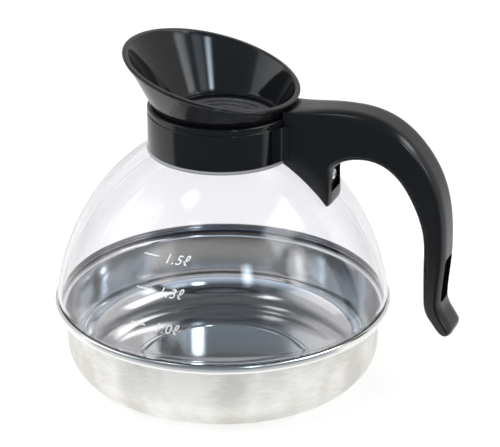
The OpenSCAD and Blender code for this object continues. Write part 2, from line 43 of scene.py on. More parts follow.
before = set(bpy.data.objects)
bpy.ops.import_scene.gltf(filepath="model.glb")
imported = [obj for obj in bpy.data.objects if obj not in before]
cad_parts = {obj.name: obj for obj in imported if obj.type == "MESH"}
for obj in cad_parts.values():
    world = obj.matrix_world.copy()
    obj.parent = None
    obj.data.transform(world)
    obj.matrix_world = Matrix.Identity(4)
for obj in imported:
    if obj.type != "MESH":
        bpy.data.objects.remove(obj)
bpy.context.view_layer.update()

MM = 0.001
DEGREE = math.pi / 180

# Fineness of the meshes
ROUND_STEPS = 192
FUNNEL_STEPS = 256
BOWL_STEPS = 72
SCREW_STEPS = 48
HOLE_STEPS = 40
CURVE_STEPS = 14
EDGE_STEPS = 7
CORNER_STEPS = 5
MERGE_GAP = 0.002
NEARLY_STRAIGHT = 85 * DEGREE
SHARP_ANGLE = 32 * DEGREE

# Radius in metres of the path on which profiles are turned
PATH_RADIUS = 1.0

# How far a cutter reaches past what it cuts
OVERCUT = 1

# Radii of small corners, from crisp to soft
CRISP = 0.1
FINE = 0.15
NEAT = 0.2
LIGHT = 0.25
SOFT = 0.3
EASY = 0.4

# Level marks: their words and heights, and where letters and ticks stand, in degrees from +X
LEVEL_MARKS = (("1.5ℓ", 87.9), ("1.3ℓ", 73.5), ("1.0ℓ", 57.3))
LETTERS_AT = -92.5
TICKS_AT = -98.4
LETTER_DROP = 2.3
TICK_LENGTH = 8.0
TICK_WIDTH = 0.6
INK_DEPTH = 0.04

# How far a run of the handle's outline is pulled along its headings, as a share of its length
RUN_PULL = 0.38

# Strength of the room: overhead and beside behind clear plastic, and even light on matt surfaces
ROOM_DARK = 0.1
SIDE_LIGHT = 0.6
ROOM_LIGHT = 0.5

# What mirrors see: the room is white behind the object and lies in blue dusk in front of it
ROOM_TURN = 15 * DEGREE
ROOM_FRONT = (math.sin(ROOM_TURN), -math.cos(ROOM_TURN), 0)
ROOM_SIDE = (math.cos(ROOM_TURN), math.sin(ROOM_TURN), 0)
ROOM_BACK = 0.68
CEILING = 0.3
DUSK_SHADE = (0.72, 0.86, 1.0)
DUSK_WALL = 0.28
DUSK_FLOOR = 0.24

# Where each part of the room fades in: the floor's dusk in metres, the others as a share of 1
DUSK_START = (0.13, 0.18)
DUSK_SIDES = (0.29, 0.4)
FRONT_RANGE = (0.2, 0.7)
SIDE_RANGE = (0.2, 0.45)
OVERHEAD_RANGE = (0.25, 0.6)
CEILING_RANGE = (0.6, 0.85)

# Soft windows of the room: azimuth, elevation, half width and half height in degrees, strength
WINDOWS = (
    (42, 31, 2.5, 4, 22),
    (57, 29, 6, 6, 1.5),
    (82, 24, 6, 7, 3.2),
    (94, 44, 18, 7.5, 4.5),
    (-45, 66, 5, 5, 4),
    (-62, 22, 22, 14, 1),
)
WINDOW_BLUR = 2.5
PANE_THROUGH = 0.4

# Floor: radius, thickness and gap under the object in millimetres, and its glow near and far
FLOOR_RADIUS = 4000
FLOOR_DEPTH = 20
FLOOR_GAP = 0.05
FLOOR_GLOW = 0.7
FLOOR_FAR_GLOW = 0.4

# Lamps: name, azimuth, elevation, distance from their aim, width and height in metres, power
LAMPS = (
    ("key_box", -45, 50, 1.1, 0.5, 0.5, 6),
    ("right_strip", 80, 25, 0.9, 0.12, 0.8, 3),
    ("left_strip", -70, 30, 1.0, 0.1, 0.7, 1.5),
    ("top_box", 0, 88, 1.1, 0.4, 0.4, 2.5),
)
LAMP_AIM = (0.01, 0, 0.08)

# Camera: its place round its aim, with the distance in metres, and the aim's place in millimetres
CAMERA_LENS = 173.7
CAMERA_AZIMUTH = 21
CAMERA_ELEVATION = 23.843
CAMERA_DISTANCE = 1.2
AIM_RIGHT = 13.68
AIM_HEIGHT = 78.08


def length(name, description, millimetres):
    """A property for a size, kept in metres."""
    return FloatProperty(
        name=name, description=description, default=millimetres * MM, unit="LENGTH", precision=5
    )


def amount(name, description, number, least=1):
    """A property for a number of like parts."""
    return IntProperty(name=name, description=description, default=number, min=least)


def shade(name, description, value):
    """A property for a colour."""
    return FloatVectorProperty(
        name=name, description=description, default=value, subtype="COLOR", size=3, min=0, max=1
    )


class CarafeBowlSizes(bpy.types.PropertyGroup):
    """Sizes of the clear bowl and of the steel that it is crimped to."""

    bowl_r: length("Bowl radius", "Radius of the bowl at its widest level", 83.8)
    bowl_rise: length("Bowl rise", "Height of the bowl's curve above its widest level", 99.5)
    bowl_drop: length("Bowl drop", "Depth of the widest level below the band's top", 10.3)
    bowl_wall: length("Bowl wall", "Thickness of the bowl's wall", 2)
    neck_r: length("Neck radius", "Outer radius of the bowl's neck", 33)
    neck_h: length("Neck height", "Height of the straight neck", 13.8)
    neck_bead: length("Neck bead", "How far the snap bead stands out", 0.8)
    pan_h: length("Pan height", "Height of the pan's flange", 37.25)
    pan_t: length("Pan sheet", "Thickness of the pan's sheet", 0.8)
    pan_corner_w: length("Pan corner width", "Width of the pan's rounded corner", 18.2)
    pan_corner_h: length("Pan corner height", "Height of the pan's rounded corner", 18.4)
    pan_draft: length("Pan draft", "How far the pan's wall leans out", 0.7)
    pan_flange_w: length("Pan flange", "Width of the pan's flange", 3.7)
    band_t: length("Band sheet", "Thickness of the band's sheet", 0.5)
    band_roll: length("Band roll", "Radius of the band's rolled edges", 1.3)
    rim_seal_t: length("Rim seal", "Thickness of the seal under the bowl's flange", 1)
    rim_flange_t: length("Bowl flange", "Thickness of the bowl's flange", 1.6)
    mark_height: length("Mark size", "Size of the lettering of the level marks", 6.6)


class CarafeTopSizes(bpy.types.PropertyGroup):
    """Sizes of the collar, the funnel and the strainer."""

    collar_wall: length("Collar wall", "Thickness of the collar's wall", 3.35)
    collar_over: length("Collar over neck", "How far the collar stands above the neck", 7.2)
    neck_pad_t: length("Neck pad", "Thickness of the pad under the collar", 1.4)
    groove_w: length("Groove width", "Width of the collar's groove", 0.8)
    groove_depth: length("Groove depth", "Depth of the collar's groove", 0.6)
    groove_drop: length("Groove drop", "Depth of the groove below the collar's top", 2.5)
    funnel_foot_out: length("Funnel foot", "How far the cone's foot stands out past the neck", 1.2)
    funnel_wall: length("Funnel wall", "Thickness of the cone's wall", 2.2)
    funnel_h: length("Funnel height", "Height of the rim on the axis", 15.5)
    rim_bead_h: length("Rim bead", "Height of the bead round the rim", 2.2)
    rim_bead_out: length("Rim bead out", "How far that bead stands out", 0.8)
    spigot_wall: length("Spigot wall", "Wall of the spigot in the neck", 2.4)
    spigot_h: length("Spigot length", "Length of the spigot", 10.8)
    strainer_ring_w: length("Strainer ring", "Width of each ring of the strainer", 2.9)
    strainer_slot: length("Strainer slot", "Width of the slots between the rings", 2)
    strainer_t: length("Strainer plate", "Thickness of the strainer", 1.6)
    strainer_crest: length("Strainer crest", "Height of the rings' crest", 0.6)
    strainer_spoke_w: length("Strainer spoke", "Width of the strainer's spokes", 3)
    strainer_rings: amount("Rings", "Number of rings", 3)
    strainer_spokes: amount("Spokes", "Number of spokes", 4, least=2)


class CarafeHandleSizes(bpy.types.PropertyGroup):
    """Sizes of the handle and its screws."""

    handle_w: length("Handle width", "Width from side to side", 20)
    grip_gap: length("Finger room", "Room between bowl and grip", 22.4)
    grip_t: length("Grip depth", "Thickness of the grip", 11.2)
    tip_z: length("Tip level", "Height of the handle's tip", 40.2)
    top_over: length("Root over collar", "How far the handle starts above the collar", 4)
    crest_over: length("Crest over root", "How far the crest rises above the root", 3.5)
    edge_r: length("Edge rounding depth", "Depth of the rounding of the long edges", 3.6)
    edge_w: length("Edge rounding width", "Width of that rounding across the handle", 6)
    lug_reach: length("Lug reach", "Distance from the collar to the lug's finger side", 22.8)
    arch_depth: length("Arch depth", "Depth of the root at the arch", 24.4)
    pocket_h: length("Pocket length", "Length of the pocket in the grip", 23)
    pocket_w: length("Pocket width", "Width of that pocket", 11.4)
    pocket_depth: length("Pocket depth", "Depth of that pocket", 5.4)
    screw_r: length("Screw shank", "Radius of the screws' shanks", 1.25)
    screw_l: length("Screw length", "Length of the screws' shanks", 6.2)
    screw_head_r: length("Screw head", "Radius of the screws' heads", 2.7)
    screw_head_h: length("Screw head height", "Height of the screws' heads", 1.8)
    insert_r: length("Insert radius", "Outer radius of the threaded inserts", 2.1)
    insert_l: length("Insert length", "Length of the threaded inserts", 3.6)


class CarafeColours(bpy.types.PropertyGroup):
    """Colours of the finishes."""

    clear: shade("Clear plastic", "Tint of the clear bowl", (0.94, 0.935, 0.955))
    black: shade("Black plastic", "Collar, funnel and handle", (0.006, 0.0065, 0.0075))
    # The worn black is a painted sheen: the lighter tone that the handle's back gets where it faces
    # +X.
    spine: shade("Worn black", "Lighter tone where hands polish the handle", (0.010, 0.0105, 0.0115))
    # Both steel shades are lighter than bare steel and are blended in clouds on the pan outside:
    # painted reflection patches. The screws take the same light steel shade.
    steel: shade("Steel", "Pan outside", (0.95, 0.94, 0.91))
    steel_dim_reflection: shade("Dull steel", "Clouds on the pan outside", (0.70, 0.685, 0.64))
    mirror: shade("Mirror steel", "Pan inside and band", (0.83, 0.83, 0.82))
    rubber: shade("Seal rubber", "Seals", (0.016, 0.019, 0.035))
    pad: shade("Pad", "Translucent pad under the collar", (0.42, 0.43, 0.45))
    grey: shade("Strainer grey", "Strainer in the funnel", (0.045, 0.047, 0.052))
    brass: shade("Brass", "Threaded inserts", (0.72, 0.52, 0.22))
    mark: shade("Mark white", "Level marks", (0.86, 0.87, 0.88))
    floor: shade("Floor", "Studio floor", (0.42, 0.42, 0.42))


def in_millimetres(group):
    """The sizes of one group, lengths in millimetres and numbers of parts as they are."""
    sizes = {}
    for key, entry in group.bl_rna.properties.items():
        if entry.type == "FLOAT":
            sizes[key] = getattr(group, key) / MM
        if entry.type == "INT":
            sizes[key] = getattr(group, key)
    return sizes


def measures(context):
    """All sizes in millimetres and the levels and radii that follow from them."""
    scene = context.scene
    v = SimpleNamespace(
        **in_millimetres(scene.carafe_bowl),
        **in_millimetres(scene.carafe_top),
        **in_millimetres(scene.carafe_handle),
    )
    v.seat_gap = 0.05
    v.fit_gap = 0.15
    v.squareness = 1.9
    joint_levels(v)
    collar_levels(v)
    funnel_levels(v)
    fitting_levels(v)
    handle_levels(v)
    tang_levels(v)
    return v


def joint_levels(v):
    """Levels and radii of the crimped joint and of the bowl."""
    flange_step = 0.9
    groove_step = 1.2
    band_room = 0.8
    bead_drop = 3.2
    v.bead_h = 2.4
    v.pan_bend = 1.6
    v.pan_bead_r = 44
    v.pan_bead_w = 2
    v.pan_bead_h = 0.7
    v.pan_top = v.pan_h + v.pan_t
    v.rim_seal_z = v.pan_top + v.seat_gap
    v.rim_z = v.rim_seal_z + v.rim_seal_t + v.seat_gap
    v.rim_top = v.rim_z + v.rim_flange_t
    v.band_low = v.pan_h - v.seat_gap - v.band_t
    v.band_top = v.rim_top + v.seat_gap + v.band_t
    v.flange_r = v.bowl_r - flange_step
    v.groove_r = v.flange_r - groove_step
    v.band_r = v.flange_r + band_room + v.band_t
    v.pan_wall_r = v.flange_r - v.pan_flange_w
    v.bowl_z = v.band_top - v.bowl_drop
    v.bore_r = v.neck_r - v.bowl_wall
    v.shoulder_z = curve_level(v, v.neck_r, 0)
    v.neck_top = v.shoulder_z + v.neck_h
    v.bead_z = v.neck_top - bead_drop


def collar_levels(v):
    """Levels and radii of the collar and its pad."""
    mouth_step = 1.1
    pad_step = 1.4
    pad_over = 0.4
    v.collar_bore = v.neck_r + v.fit_gap
    v.collar_r = v.collar_bore + v.collar_wall
    v.mouth_r = v.neck_r + mouth_step
    v.collar_top = v.neck_top + v.collar_over
    v.pad_in_r = v.neck_r + pad_step
    v.pad_out_r = v.collar_r + pad_over
    v.pad_low = v.neck_pad_t + v.seat_gap
    v.collar_low = v.pad_low + v.seat_gap


def funnel_levels(v):
    """Levels and radii of the funnel and its grip pads."""
    plug_gap = 0.5
    spigot_gap = 1.4
    stop_gap = 0.1
    cone_gap = 0.4
    ledge_rise = 1.8
    v.flare = math.tan(27.5 * DEGREE)
    v.tilt = 13.5 * DEGREE
    v.funnel_r = v.neck_r + v.funnel_foot_out
    v.plug_r = v.mouth_r - plug_gap
    v.spigot_r = v.bore_r - spigot_gap
    v.throat_r = v.spigot_r - v.spigot_wall
    v.plug_z = v.neck_top + stop_gap
    v.spigot_low = v.plug_z - v.spigot_h
    v.cone_z = v.collar_top + cone_gap
    v.ledge_z = v.plug_z + ledge_rise
    v.grip_pad_turn = 41
    v.grip_pad_half = 12.5
    v.grip_pad_rise = 2.6
    v.grip_pad_h = 4.2
    v.grip_pad_lift = 0.7
    v.grip_pad_slope = 0.5


def fitting_levels(v):
    """Levels and radii of the funnel's seal and the strainer."""
    seal_rise = 2
    groove_cut = 0.8
    strainer_drop = 2.2
    v.seal_groove_h = 2.4
    v.seal_groove_z = v.spigot_low + seal_rise
    v.seal_groove_r = v.spigot_r - groove_cut
    v.strainer_z = v.plug_z - strainer_drop
    v.strainer_r = v.throat_r - v.fit_gap
    v.strainer_lip_w = 1.6
    v.strainer_lip_h = 1.2


def handle_levels(v):
    """Places of the handle's outline and of the recess in its lug."""
    side_cover = 1.6
    lug_taper = 1.8
    lug_foot = 3.6
    arch_shift = 6.4
    v.lug_gap = 0.5
    v.recess_depth = 2.2
    v.recess_w = 13
    v.recess_low = 7
    v.spine_share = 0.6
    v.waist_share = 0.84
    v.waist_step = 1.8
    v.root_r = v.collar_r + v.fit_gap
    v.root_top = v.collar_top + v.top_over
    v.crest_z = v.root_top + v.crest_over
    v.fall = v.crest_z - v.tip_z
    v.grip_x = v.bowl_r + v.grip_gap
    v.spine_x = v.grip_x + v.grip_t
    v.arch_z = v.crest_z - v.arch_depth
    v.lug_x = v.collar_r + v.lug_reach
    v.side_gap = v.lug_gap - side_cover
    v.lug_low_x = v.lug_x - lug_taper
    v.lug_low_z = curve_level(v, v.lug_low_x, v.side_gap)
    v.join_x = v.lug_low_x - lug_foot
    v.arch_x = (v.lug_x + v.grip_x) / 2 - arch_shift
    v.floor_x = v.lug_x - v.recess_depth


def tang_levels(v):
    """Places of the tang inside the handle and of its screws."""
    screw_seat = 2.8
    tang_drop = 4
    tang_cover = 1.2
    insert_cover = 0.9
    screw_drop = 5.6
    v.tang_w = 10
    v.screw_gap = 0.2
    v.tang_x = v.floor_x - screw_seat
    v.tang_z = v.collar_top - tang_drop
    v.tang_gap = v.lug_gap + tang_cover + v.fit_gap
    insert_low = curve_level(v, v.tang_x - v.insert_l, v.tang_gap) + insert_cover
    v.screw_z = insert_low + v.insert_r
    v.screw_pitch = v.arch_z - screw_drop - v.screw_z


def curve_radius(v, z, grow):
    """Radius of the bowl's curve at level z, with the curve moved outwards by grow."""
    part = max(0, z - v.bowl_z) / (v.bowl_rise + grow)
    return (v.bowl_r + grow) * (1 - part**v.squareness) ** (1 / v.squareness)


def curve_level(v, radius, grow):
    """Level of that curve at a radius."""
    part = radius / (v.bowl_r + grow)
    return v.bowl_z + (v.bowl_rise + grow) * (1 - part**v.squareness) ** (1 / v.squareness)


def curve_points(v, low, high, grow, steps):
    """Points of that curve from one level to another, in even steps of its own angle."""
    reach = v.bowl_rise + grow
    first = math.asin(((low - v.bowl_z) / reach) ** (v.squareness / 2))
    last = math.asin(((high - v.bowl_z) / reach) ** (v.squareness / 2))
    points = []
    for i in range(steps + 1):
        angle = first + (last - first) * i / steps
        radius = (v.bowl_r + grow) * math.cos(angle) ** (2 / v.squareness)
        points.append((radius, v.bowl_z + reach * math.sin(angle) ** (2 / v.squareness)))
    return points


def arc(cx, cy, rx, ry, first, last, steps=CORNER_STEPS * 2):
    """Points of an elliptical arc, with its angles in degrees."""
    points = []
    for i in range(steps + 1):
        angle = (first + (last - first) * i / steps) * DEGREE
        points.append((cx + rx * math.cos(angle), cy + ry * math.sin(angle)))
    return points


def circle(radius, steps):
    """Points of a full circle round the origin."""
    return arc(0, 0, radius, radius, 0, 360, steps)[:-1]


def rounded(corners, steps=CORNER_STEPS):
    """A closed outline of (x, y) or (x, y, radius) corners, with the latter rounded."""
    points = []
    for i, corner in enumerate(corners):
        here = Vector(corner[:2])
        if len(corner) < 3:
            points.append(tuple(here))
            continue
        back = (Vector(corners[i - 1][:2]) - here).normalized()
        ahead = (Vector(corners[(i + 1) % len(corners)][:2]) - here).normalized()
        half = back.angle(ahead) / 2
        if half > NEARLY_STRAIGHT:
            points += [tuple(here)] * (steps + 1)
            continue
        centre = here + (back + ahead).normalized() * corner[2] / math.sin(half)
        start = here + back * corner[2] / math.tan(half) - centre
        end = here + ahead * corner[2] / math.tan(half) - centre
        sweep = math.pi - 2 * half
        for j in range(steps + 1):
            part = j / steps
            spoke = start * math.sin((1 - part) * sweep) + end * math.sin(part * sweep)
            points.append(tuple(centre + spoke / math.sin(sweep)))
    return points


def cubic(p0, p1, p2, p3, t):
    """Point on a cubic curve."""
    return (1 - t) ** 3 * p0 + 3 * t * (1 - t) ** 2 * p1 + 3 * t * t * (1 - t) * p2 + t**3 * p3


def add_node(tree, kind, feeds=None, **settings):
    """A node of that kind. feeds maps its inputs to plain values or to the outputs that feed them."""
    node = tree.nodes.new(kind)
    for key, value in settings.items():
        setattr(node, key, value)
    for key, value in (feeds or {}).items():
        if isinstance(value, bpy.types.NodeSocket):
            tree.links.new(value, node.inputs[key])
        else:
            node.inputs[key].default_value = value
    return node


def output(tree, kind, feeds=None, socket=0, **settings):
    """One output of a new node of that kind."""
    return add_node(tree, kind, feeds, **settings).outputs[socket]


def worked(tree, first, second, operation="MULTIPLY"):
    """The result of one sum on two values."""
    return output(tree, "ShaderNodeMath", {0: first, 1: second}, operation=operation)


def along(tree, place, axis):
    """How far a place or a direction reaches along an axis."""
    feeds = {0: place, 1: axis}
    return output(tree, "ShaderNodeVectorMath", feeds, "Value", operation="DOT_PRODUCT")


def distance_to(tree, place):
    """How far a place lies from the origin."""
    return output(tree, "ShaderNodeVectorMath", {0: place}, "Value", operation="LENGTH")


def heading_to(tree, place):
    """Direction from the origin to a place."""
    return output(tree, "ShaderNodeVectorMath", {0: place}, operation="NORMALIZE")


def link_object(name, data):
    """A new object in the scene, at the origin, with that mesh, lamp or camera."""
    piece = bpy.data.objects.new(name, data)
    bpy.context.scene.collection.objects.link(piece)
    return piece


def make_mesh(name, points, faces):
    """A mesh from points in millimetres."""
    mesh = bpy.data.meshes.new(name)
    mesh.from_pydata([Vector(point) * MM for point in points], [], faces)
    close_shells(mesh)
    return mesh


def close_shells(mesh):
    """Merges doubled points and turns the faces of closed shells outwards."""
    work = bmesh.new()
    work.from_mesh(mesh)
    bmesh.ops.remove_doubles(work, verts=work.verts, dist=MERGE_GAP * MM)
    bmesh.ops.recalc_face_normals(work, faces=work.faces)
    work.to_mesh(mesh)
    work.free()


def soften(mesh):
    """Smooth shading with hard edges where faces meet at a sharp angle."""
    mesh.shade_smooth()
    mesh.set_sharp_from_angle(angle=SHARP_ANGLE)


def make_plain(piece):
    """Turns a piece's modifiers into a plain mesh."""
    graph = bpy.context.evaluated_depsgraph_get()
    plain = bpy.data.meshes.new_from_object(piece.evaluated_get(graph))
    piece.modifiers.clear()
    piece.data = plain


def dress(piece, finish):
    """Gives a piece one finish in place of what it had."""
    piece.data.materials.clear()
    piece.data.materials.append(finish)


def settle(piece, body, slot, *nodes):
    """Attaches a finished piece to the body that it rides on and hides the CAD nodes that it replaces.
    The slot is not used.
    """
    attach(piece, body)
    if nodes:
        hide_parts(*nodes)


def extruded(name, outline, depth, place):
    """A closed slab: an outline in local XY, carried along local Z, put in place by a matrix."""
    count = len(outline)
    points = [place @ Vector((x, y, z)) for z in (0, depth) for x, y in outline]
    sides = [(i, (i + 1) % count, count + (i + 1) % count, count + i) for i in range(count)]
    caps = [tuple(range(count)), tuple(range(count, 2 * count))]
    return make_mesh(name, points, sides + caps)


def upright(outline, width):
    """A slab across the XZ plane from an outline of (x, z) points, width wide."""
    place = Matrix.Translation((0, width / 2, 0)) @ Matrix.Rotation(math.pi / 2, 4, "X")
    return extruded("upright slab", outline, width, place)


def column(radius, height):
    """A tall round cutter on the Z axis, from below the table up to a level."""
    place = Matrix.Translation((0, 0, -OVERCUT))
    return extruded("column", circle(radius, ROUND_STEPS), height + OVERCUT, place)


def carve(piece, meshes, operation="DIFFERENCE"):
    """Cuts closed meshes out of a piece, or joins them to it, and leaves a plain mesh."""
    tools = []
    for mesh in meshes:
        tool = link_object("cutter", mesh)
        cut = piece.modifiers.new("cut", "BOOLEAN")
        cut.operation = operation
        cut.solver = "EXACT"
        cut.object = tool
        tools.append(tool)
    make_plain(piece)
    for tool in tools:
        bpy.data.objects.remove(tool)


def node_group(name, inputs):
    """An empty geometry node tree with inputs, given as {name: kind of socket}, and one output."""
    tree = bpy.data.node_groups.new(name, "GeometryNodeTree")
    for label, kind in inputs.items():
        tree.interface.new_socket(label, in_out="INPUT", socket_type="NodeSocket" + kind)
    tree.interface.new_socket("Geometry", in_out="OUTPUT", socket_type="NodeSocketGeometry")
    return tree, add_node(tree, "NodeGroupInput").outputs


def end_tree(tree, geometry, finish):
    """Ends a tree in Realize Instances and Set Material."""
    whole = output(tree, "GeometryNodeRealizeInstances", {"Geometry": geometry})
    dressed = output(tree, "GeometryNodeSetMaterial", {"Geometry": whole, "Material": finish})
    add_node(tree, "NodeGroupOutput", {"Geometry": dressed})


def run_tree(piece, tree, values):
    """Runs a tree on a piece with values for its named inputs and leaves a plain mesh."""
    shaper = piece.modifiers.new("shape", "NODES")
    shaper.node_group = tree
    for item in tree.interface.items_tree:
        if item.in_out == "INPUT" and item.name in values:
            shaper[item.identifier] = values[item.name]
    make_plain(piece)


def copied(tree, points, instance, turn):
    """Copies of one shape on points, turned by a rotation."""
    feeds = {"Points": points, "Instance": instance, "Rotation": turn}
    return output(tree, "GeometryNodeInstanceOnPoints", feeds)


def turned(tree, given, profile):
    """A profile carried round the Z axis on a circular path."""
    circle_feeds = {"Resolution": given["Steps"], "Radius": given["Path radius"]}
    path = output(tree, "GeometryNodeCurvePrimitiveCircle", circle_feeds)
    line = output(tree, "GeometryNodeMeshToCurve", {"Mesh": profile})
    return output(tree, "GeometryNodeCurveToMesh", {"Curve": path, "Profile Curve": line})


def spin_tree():
    """Tree that turns one profile round the Z axis."""
    known = bpy.data.node_groups.get("spun piece")
    if known:
        return known
    inputs = {"Profile": "Geometry", "Path radius": "Float", "Steps": "Int", "Finish": "Material"}
    tree, given = node_group("spun piece", inputs)
    end_tree(tree, turned(tree, given, given["Profile"]), given["Finish"])
    return tree


def profile_wire(name, profile):
    """A closed profile of (radius, level) points in millimetres, laid out for its circular path."""
    points = [(radius * MM - PATH_RADIUS, -level * MM, 0) for radius, level in profile]
    edges = [(i, (i + 1) % len(points)) for i in range(len(points))]
    wire = bpy.data.meshes.new(name)
    wire.from_pydata(points, edges, [])
    return link_object(name, wire)


def spun(name, profile, finish, steps=ROUND_STEPS):
    """A turned piece from a closed profile of (radius, level) points in millimetres."""
    piece = profile_wire(name, profile)
    run_tree(piece, spin_tree(), {"Path radius": PATH_RADIUS, "Steps": steps, "Finish": finish})
    close_shells(piece.data)
    soften(piece.data)
    return piece


def start_finish(name):
    """A new material: its tree and the piece's own Object coordinates."""
    material = bpy.data.materials.new(name)
    material.use_nodes = True
    tree = material.node_tree
    tree.nodes.clear()
    return material, tree, output(tree, "ShaderNodeTexCoord", socket="Object")


def turned_place(tree, place, spread, pitch):
    """Coordinates that run round the Z axis: slow along the turning, quick along the profile."""
    split = add_node(tree, "ShaderNodeSeparateXYZ", {"Vector": place}).outputs
    flat = output(tree, "ShaderNodeCombineXYZ", {"X": split["X"], "Y": split["Y"]})
    feeds = {0: heading_to(tree, flat), "Scale": spread}
    near = output(tree, "ShaderNodeVectorMath", feeds, operation="SCALE")
    up = worked(tree, worked(tree, split["Z"], distance_to(tree, flat), "ADD"), pitch)
    rise = output(tree, "ShaderNodeCombineXYZ", {"Z": up})
    return output(tree, "ShaderNodeVectorMath", {0: near, 1: rise}, operation="ADD")


def noise(tree, place, scale=1.0, detail=2.0):
    """A noise value between 0 and 1."""
    feeds = {"Vector": place, "Scale": scale, "Detail": detail}
    return output(tree, "ShaderNodeTexNoise", feeds, "Fac")


def ranged(tree, value, low, high, first=0.3, last=0.7):
    """A value carried from the range first to last into the range low to high."""
    feeds = {"Value": value, "From Min": first, "From Max": last, "To Min": low, "To Max": high}
    return output(tree, "ShaderNodeMapRange", feeds, "Result")


def chosen(tree, share, first, second):
    """The first value where the share is 0 and the second where it is 1."""
    return ranged(tree, share, first, second, 0, 1)


def blend_shades(tree, value, first, second):
    """Colour between two shades, chosen by a value."""
    mix = add_node(tree, "ShaderNodeMix", {"Factor": value}, data_type="RGBA")
    # The colour sockets of a Mix node come after those for numbers and vectors
    mix.inputs[6].default_value = (*first, 1)
    mix.inputs[7].default_value = (*second, 1)
    return mix.outputs[2]


def bumped(tree, height, strength, depth):
    """A normal that follows a height, depth in millimetres."""
    feeds = {"Height": height, "Strength": strength, "Distance": depth * MM}
    return output(tree, "ShaderNodeBump", feeds, "Normal")


def dimmed(colour, factor):
    """A colour made darker or lighter by a factor."""
    return tuple(min(1, part * factor) for part in colour)


def end_finish(tree, colour, roughness, normal, more=None):
    """Principled surface with those inputs and more by name, led to the material's output."""
    feeds = {"Base Color": colour, "Roughness": roughness, "Normal": normal, **(more or {})}
    surface = output(tree, "ShaderNodeBsdfPrincipled", feeds)
    add_node(tree, "ShaderNodeOutputMaterial", {"Surface": surface})


def grained_finish(name, shades, grain, roughness, relief, more=None):
    """A finish whose colour, gloss and relief all follow one noise.

    grain is the noise's scale and detail, roughness its least and most, and relief the strength
    and depth of the bump.
    """
    material, tree, place = start_finish(name)
    value = noise(tree, place, *grain)
    colour = blend_shades(tree, value, *shades)
    end_finish(tree, colour, ranged(tree, value, *roughness), bumped(tree, value, *relief), more)
    return material


def clear_plastic_finish(colours):
    """Clear moulded plastic: faint flow waves, a breath of haze, and no shadow of its own."""
    material, tree, place = start_finish("clear plastic")
    waves = noise(tree, turned_place(tree, place, spread=1.2, pitch=22))
    haze = noise(tree, place, scale=60.0, detail=3.0)
    feeds = {
        "Base Color": blend_shades(tree, haze, colours.clear, dimmed(colours.clear, 0.985)),
        "Roughness": ranged(tree, haze, low=0.0, high=0.025),
        "IOR": 1.46,
        "Transmission Weight": 1.0,
        "Normal": bumped(tree, waves, strength=0.25, depth=0.3),
    }
    surface = output(tree, "ShaderNodeBsdfPrincipled", feeds)
    pass_light = output(tree, "ShaderNodeBsdfTransparent", {"Color": (*colours.clear, 1)})
    shadow_ray = output(tree, "ShaderNodeLightPath", socket="Is Shadow Ray")
    mix = output(tree, "ShaderNodeMixShader", {0: shadow_ray, 1: surface, 2: pass_light})
    add_node(tree, "ShaderNodeOutputMaterial", {"Surface": mix})
    return material


def gloss_black_finish(colours):
    """Glossy black moulded plastic with fine flow marks and a little dust in its gloss."""
    material, tree, place = start_finish("gloss black")
    flow = noise(tree, place, scale=45.0, detail=3.0)
    dust = noise(tree, place, scale=900.0, detail=4.0)
    colour = blend_shades(tree, flow, colours.black, dimmed(colours.black, 1.35))
    roughness = ranged(tree, dust, low=0.05, high=0.11)
    end_finish(tree, colour, roughness, bumped(tree, flow, strength=0.12, depth=0.2))
    return material


def handle_black_finish(colours):
    """Black plastic of the handle: spark-eroded grain, and a painted sheen where faces look along +X
    at the back, mottled by the noise that also varies the gloss.
    """
    material, tree, place = start_finish("handle black")
    grain = noise(tree, place, scale=2600.0, detail=3.0)
    wear_and_sheen_mottle = noise(tree, place, scale=34.0, detail=3.0)
    facing = output(tree, "ShaderNodeNewGeometry", socket="Normal")
    outward = output(tree, "ShaderNodeSeparateXYZ", {"Vector": facing}, "X")
    # Painted sheen: faces that look along +X, the back, are blended towards the lighter spine tone.
    back = ranged(tree, outward, low=0.0, high=1.0, first=0.35, last=0.95)
    colour = blend_shades(tree, worked(tree, back, wear_and_sheen_mottle), colours.black, colours.spine)
    roughness = ranged(tree, wear_and_sheen_mottle, low=0.18, high=0.28)
    end_finish(tree, colour, roughness, bumped(tree, grain, strength=0.08, depth=0.05))
    return material


def brushed_steel_finish(colours):
    """Spun steel: fine lines round the axis over slow clouds of warmer and cooler grey, partly the
    steel's own mottle and partly painted reflection, bright and dim patches on a base lighter than
    bare steel.
    """
    material, tree, place = start_finish("brushed steel")
    cloud_weight = 2.2
    stroke_weight = 0.8
    lines = noise(tree, turned_place(tree, place, spread=2.5, pitch=5200), detail=3.0)
    strokes = noise(tree, turned_place(tree, place, spread=14, pitch=800), detail=3.0)
    clouds = noise(tree, turned_place(tree, place, spread=3.2, pitch=26))
    both = worked(tree, lines, strokes, "ADD")
    # Painted reflection: clouds and strokes blend the colour between a dim and a bright steel shade,
    # standing in for reflected patches and streaks.
    faint_strokes = worked(tree, strokes, stroke_weight)
    painted_reflection_mottle = worked(tree, worked(tree, clouds, cloud_weight), faint_strokes, "ADD")
    tone = ranged(tree, painted_reflection_mottle, low=0, high=1, first=1.2, last=1.8)
    end_finish(
        tree,
        blend_shades(tree, tone, colours.steel_dim_reflection, colours.steel),
        ranged(tree, both, low=0.32, high=0.46, first=0.6, last=1.4),
        bumped(tree, both, strength=0.3, depth=0.03),
        {"Metallic": 0.85, "Anisotropic": 0.75, "Anisotropic Rotation": 0.25},
    )
    return material


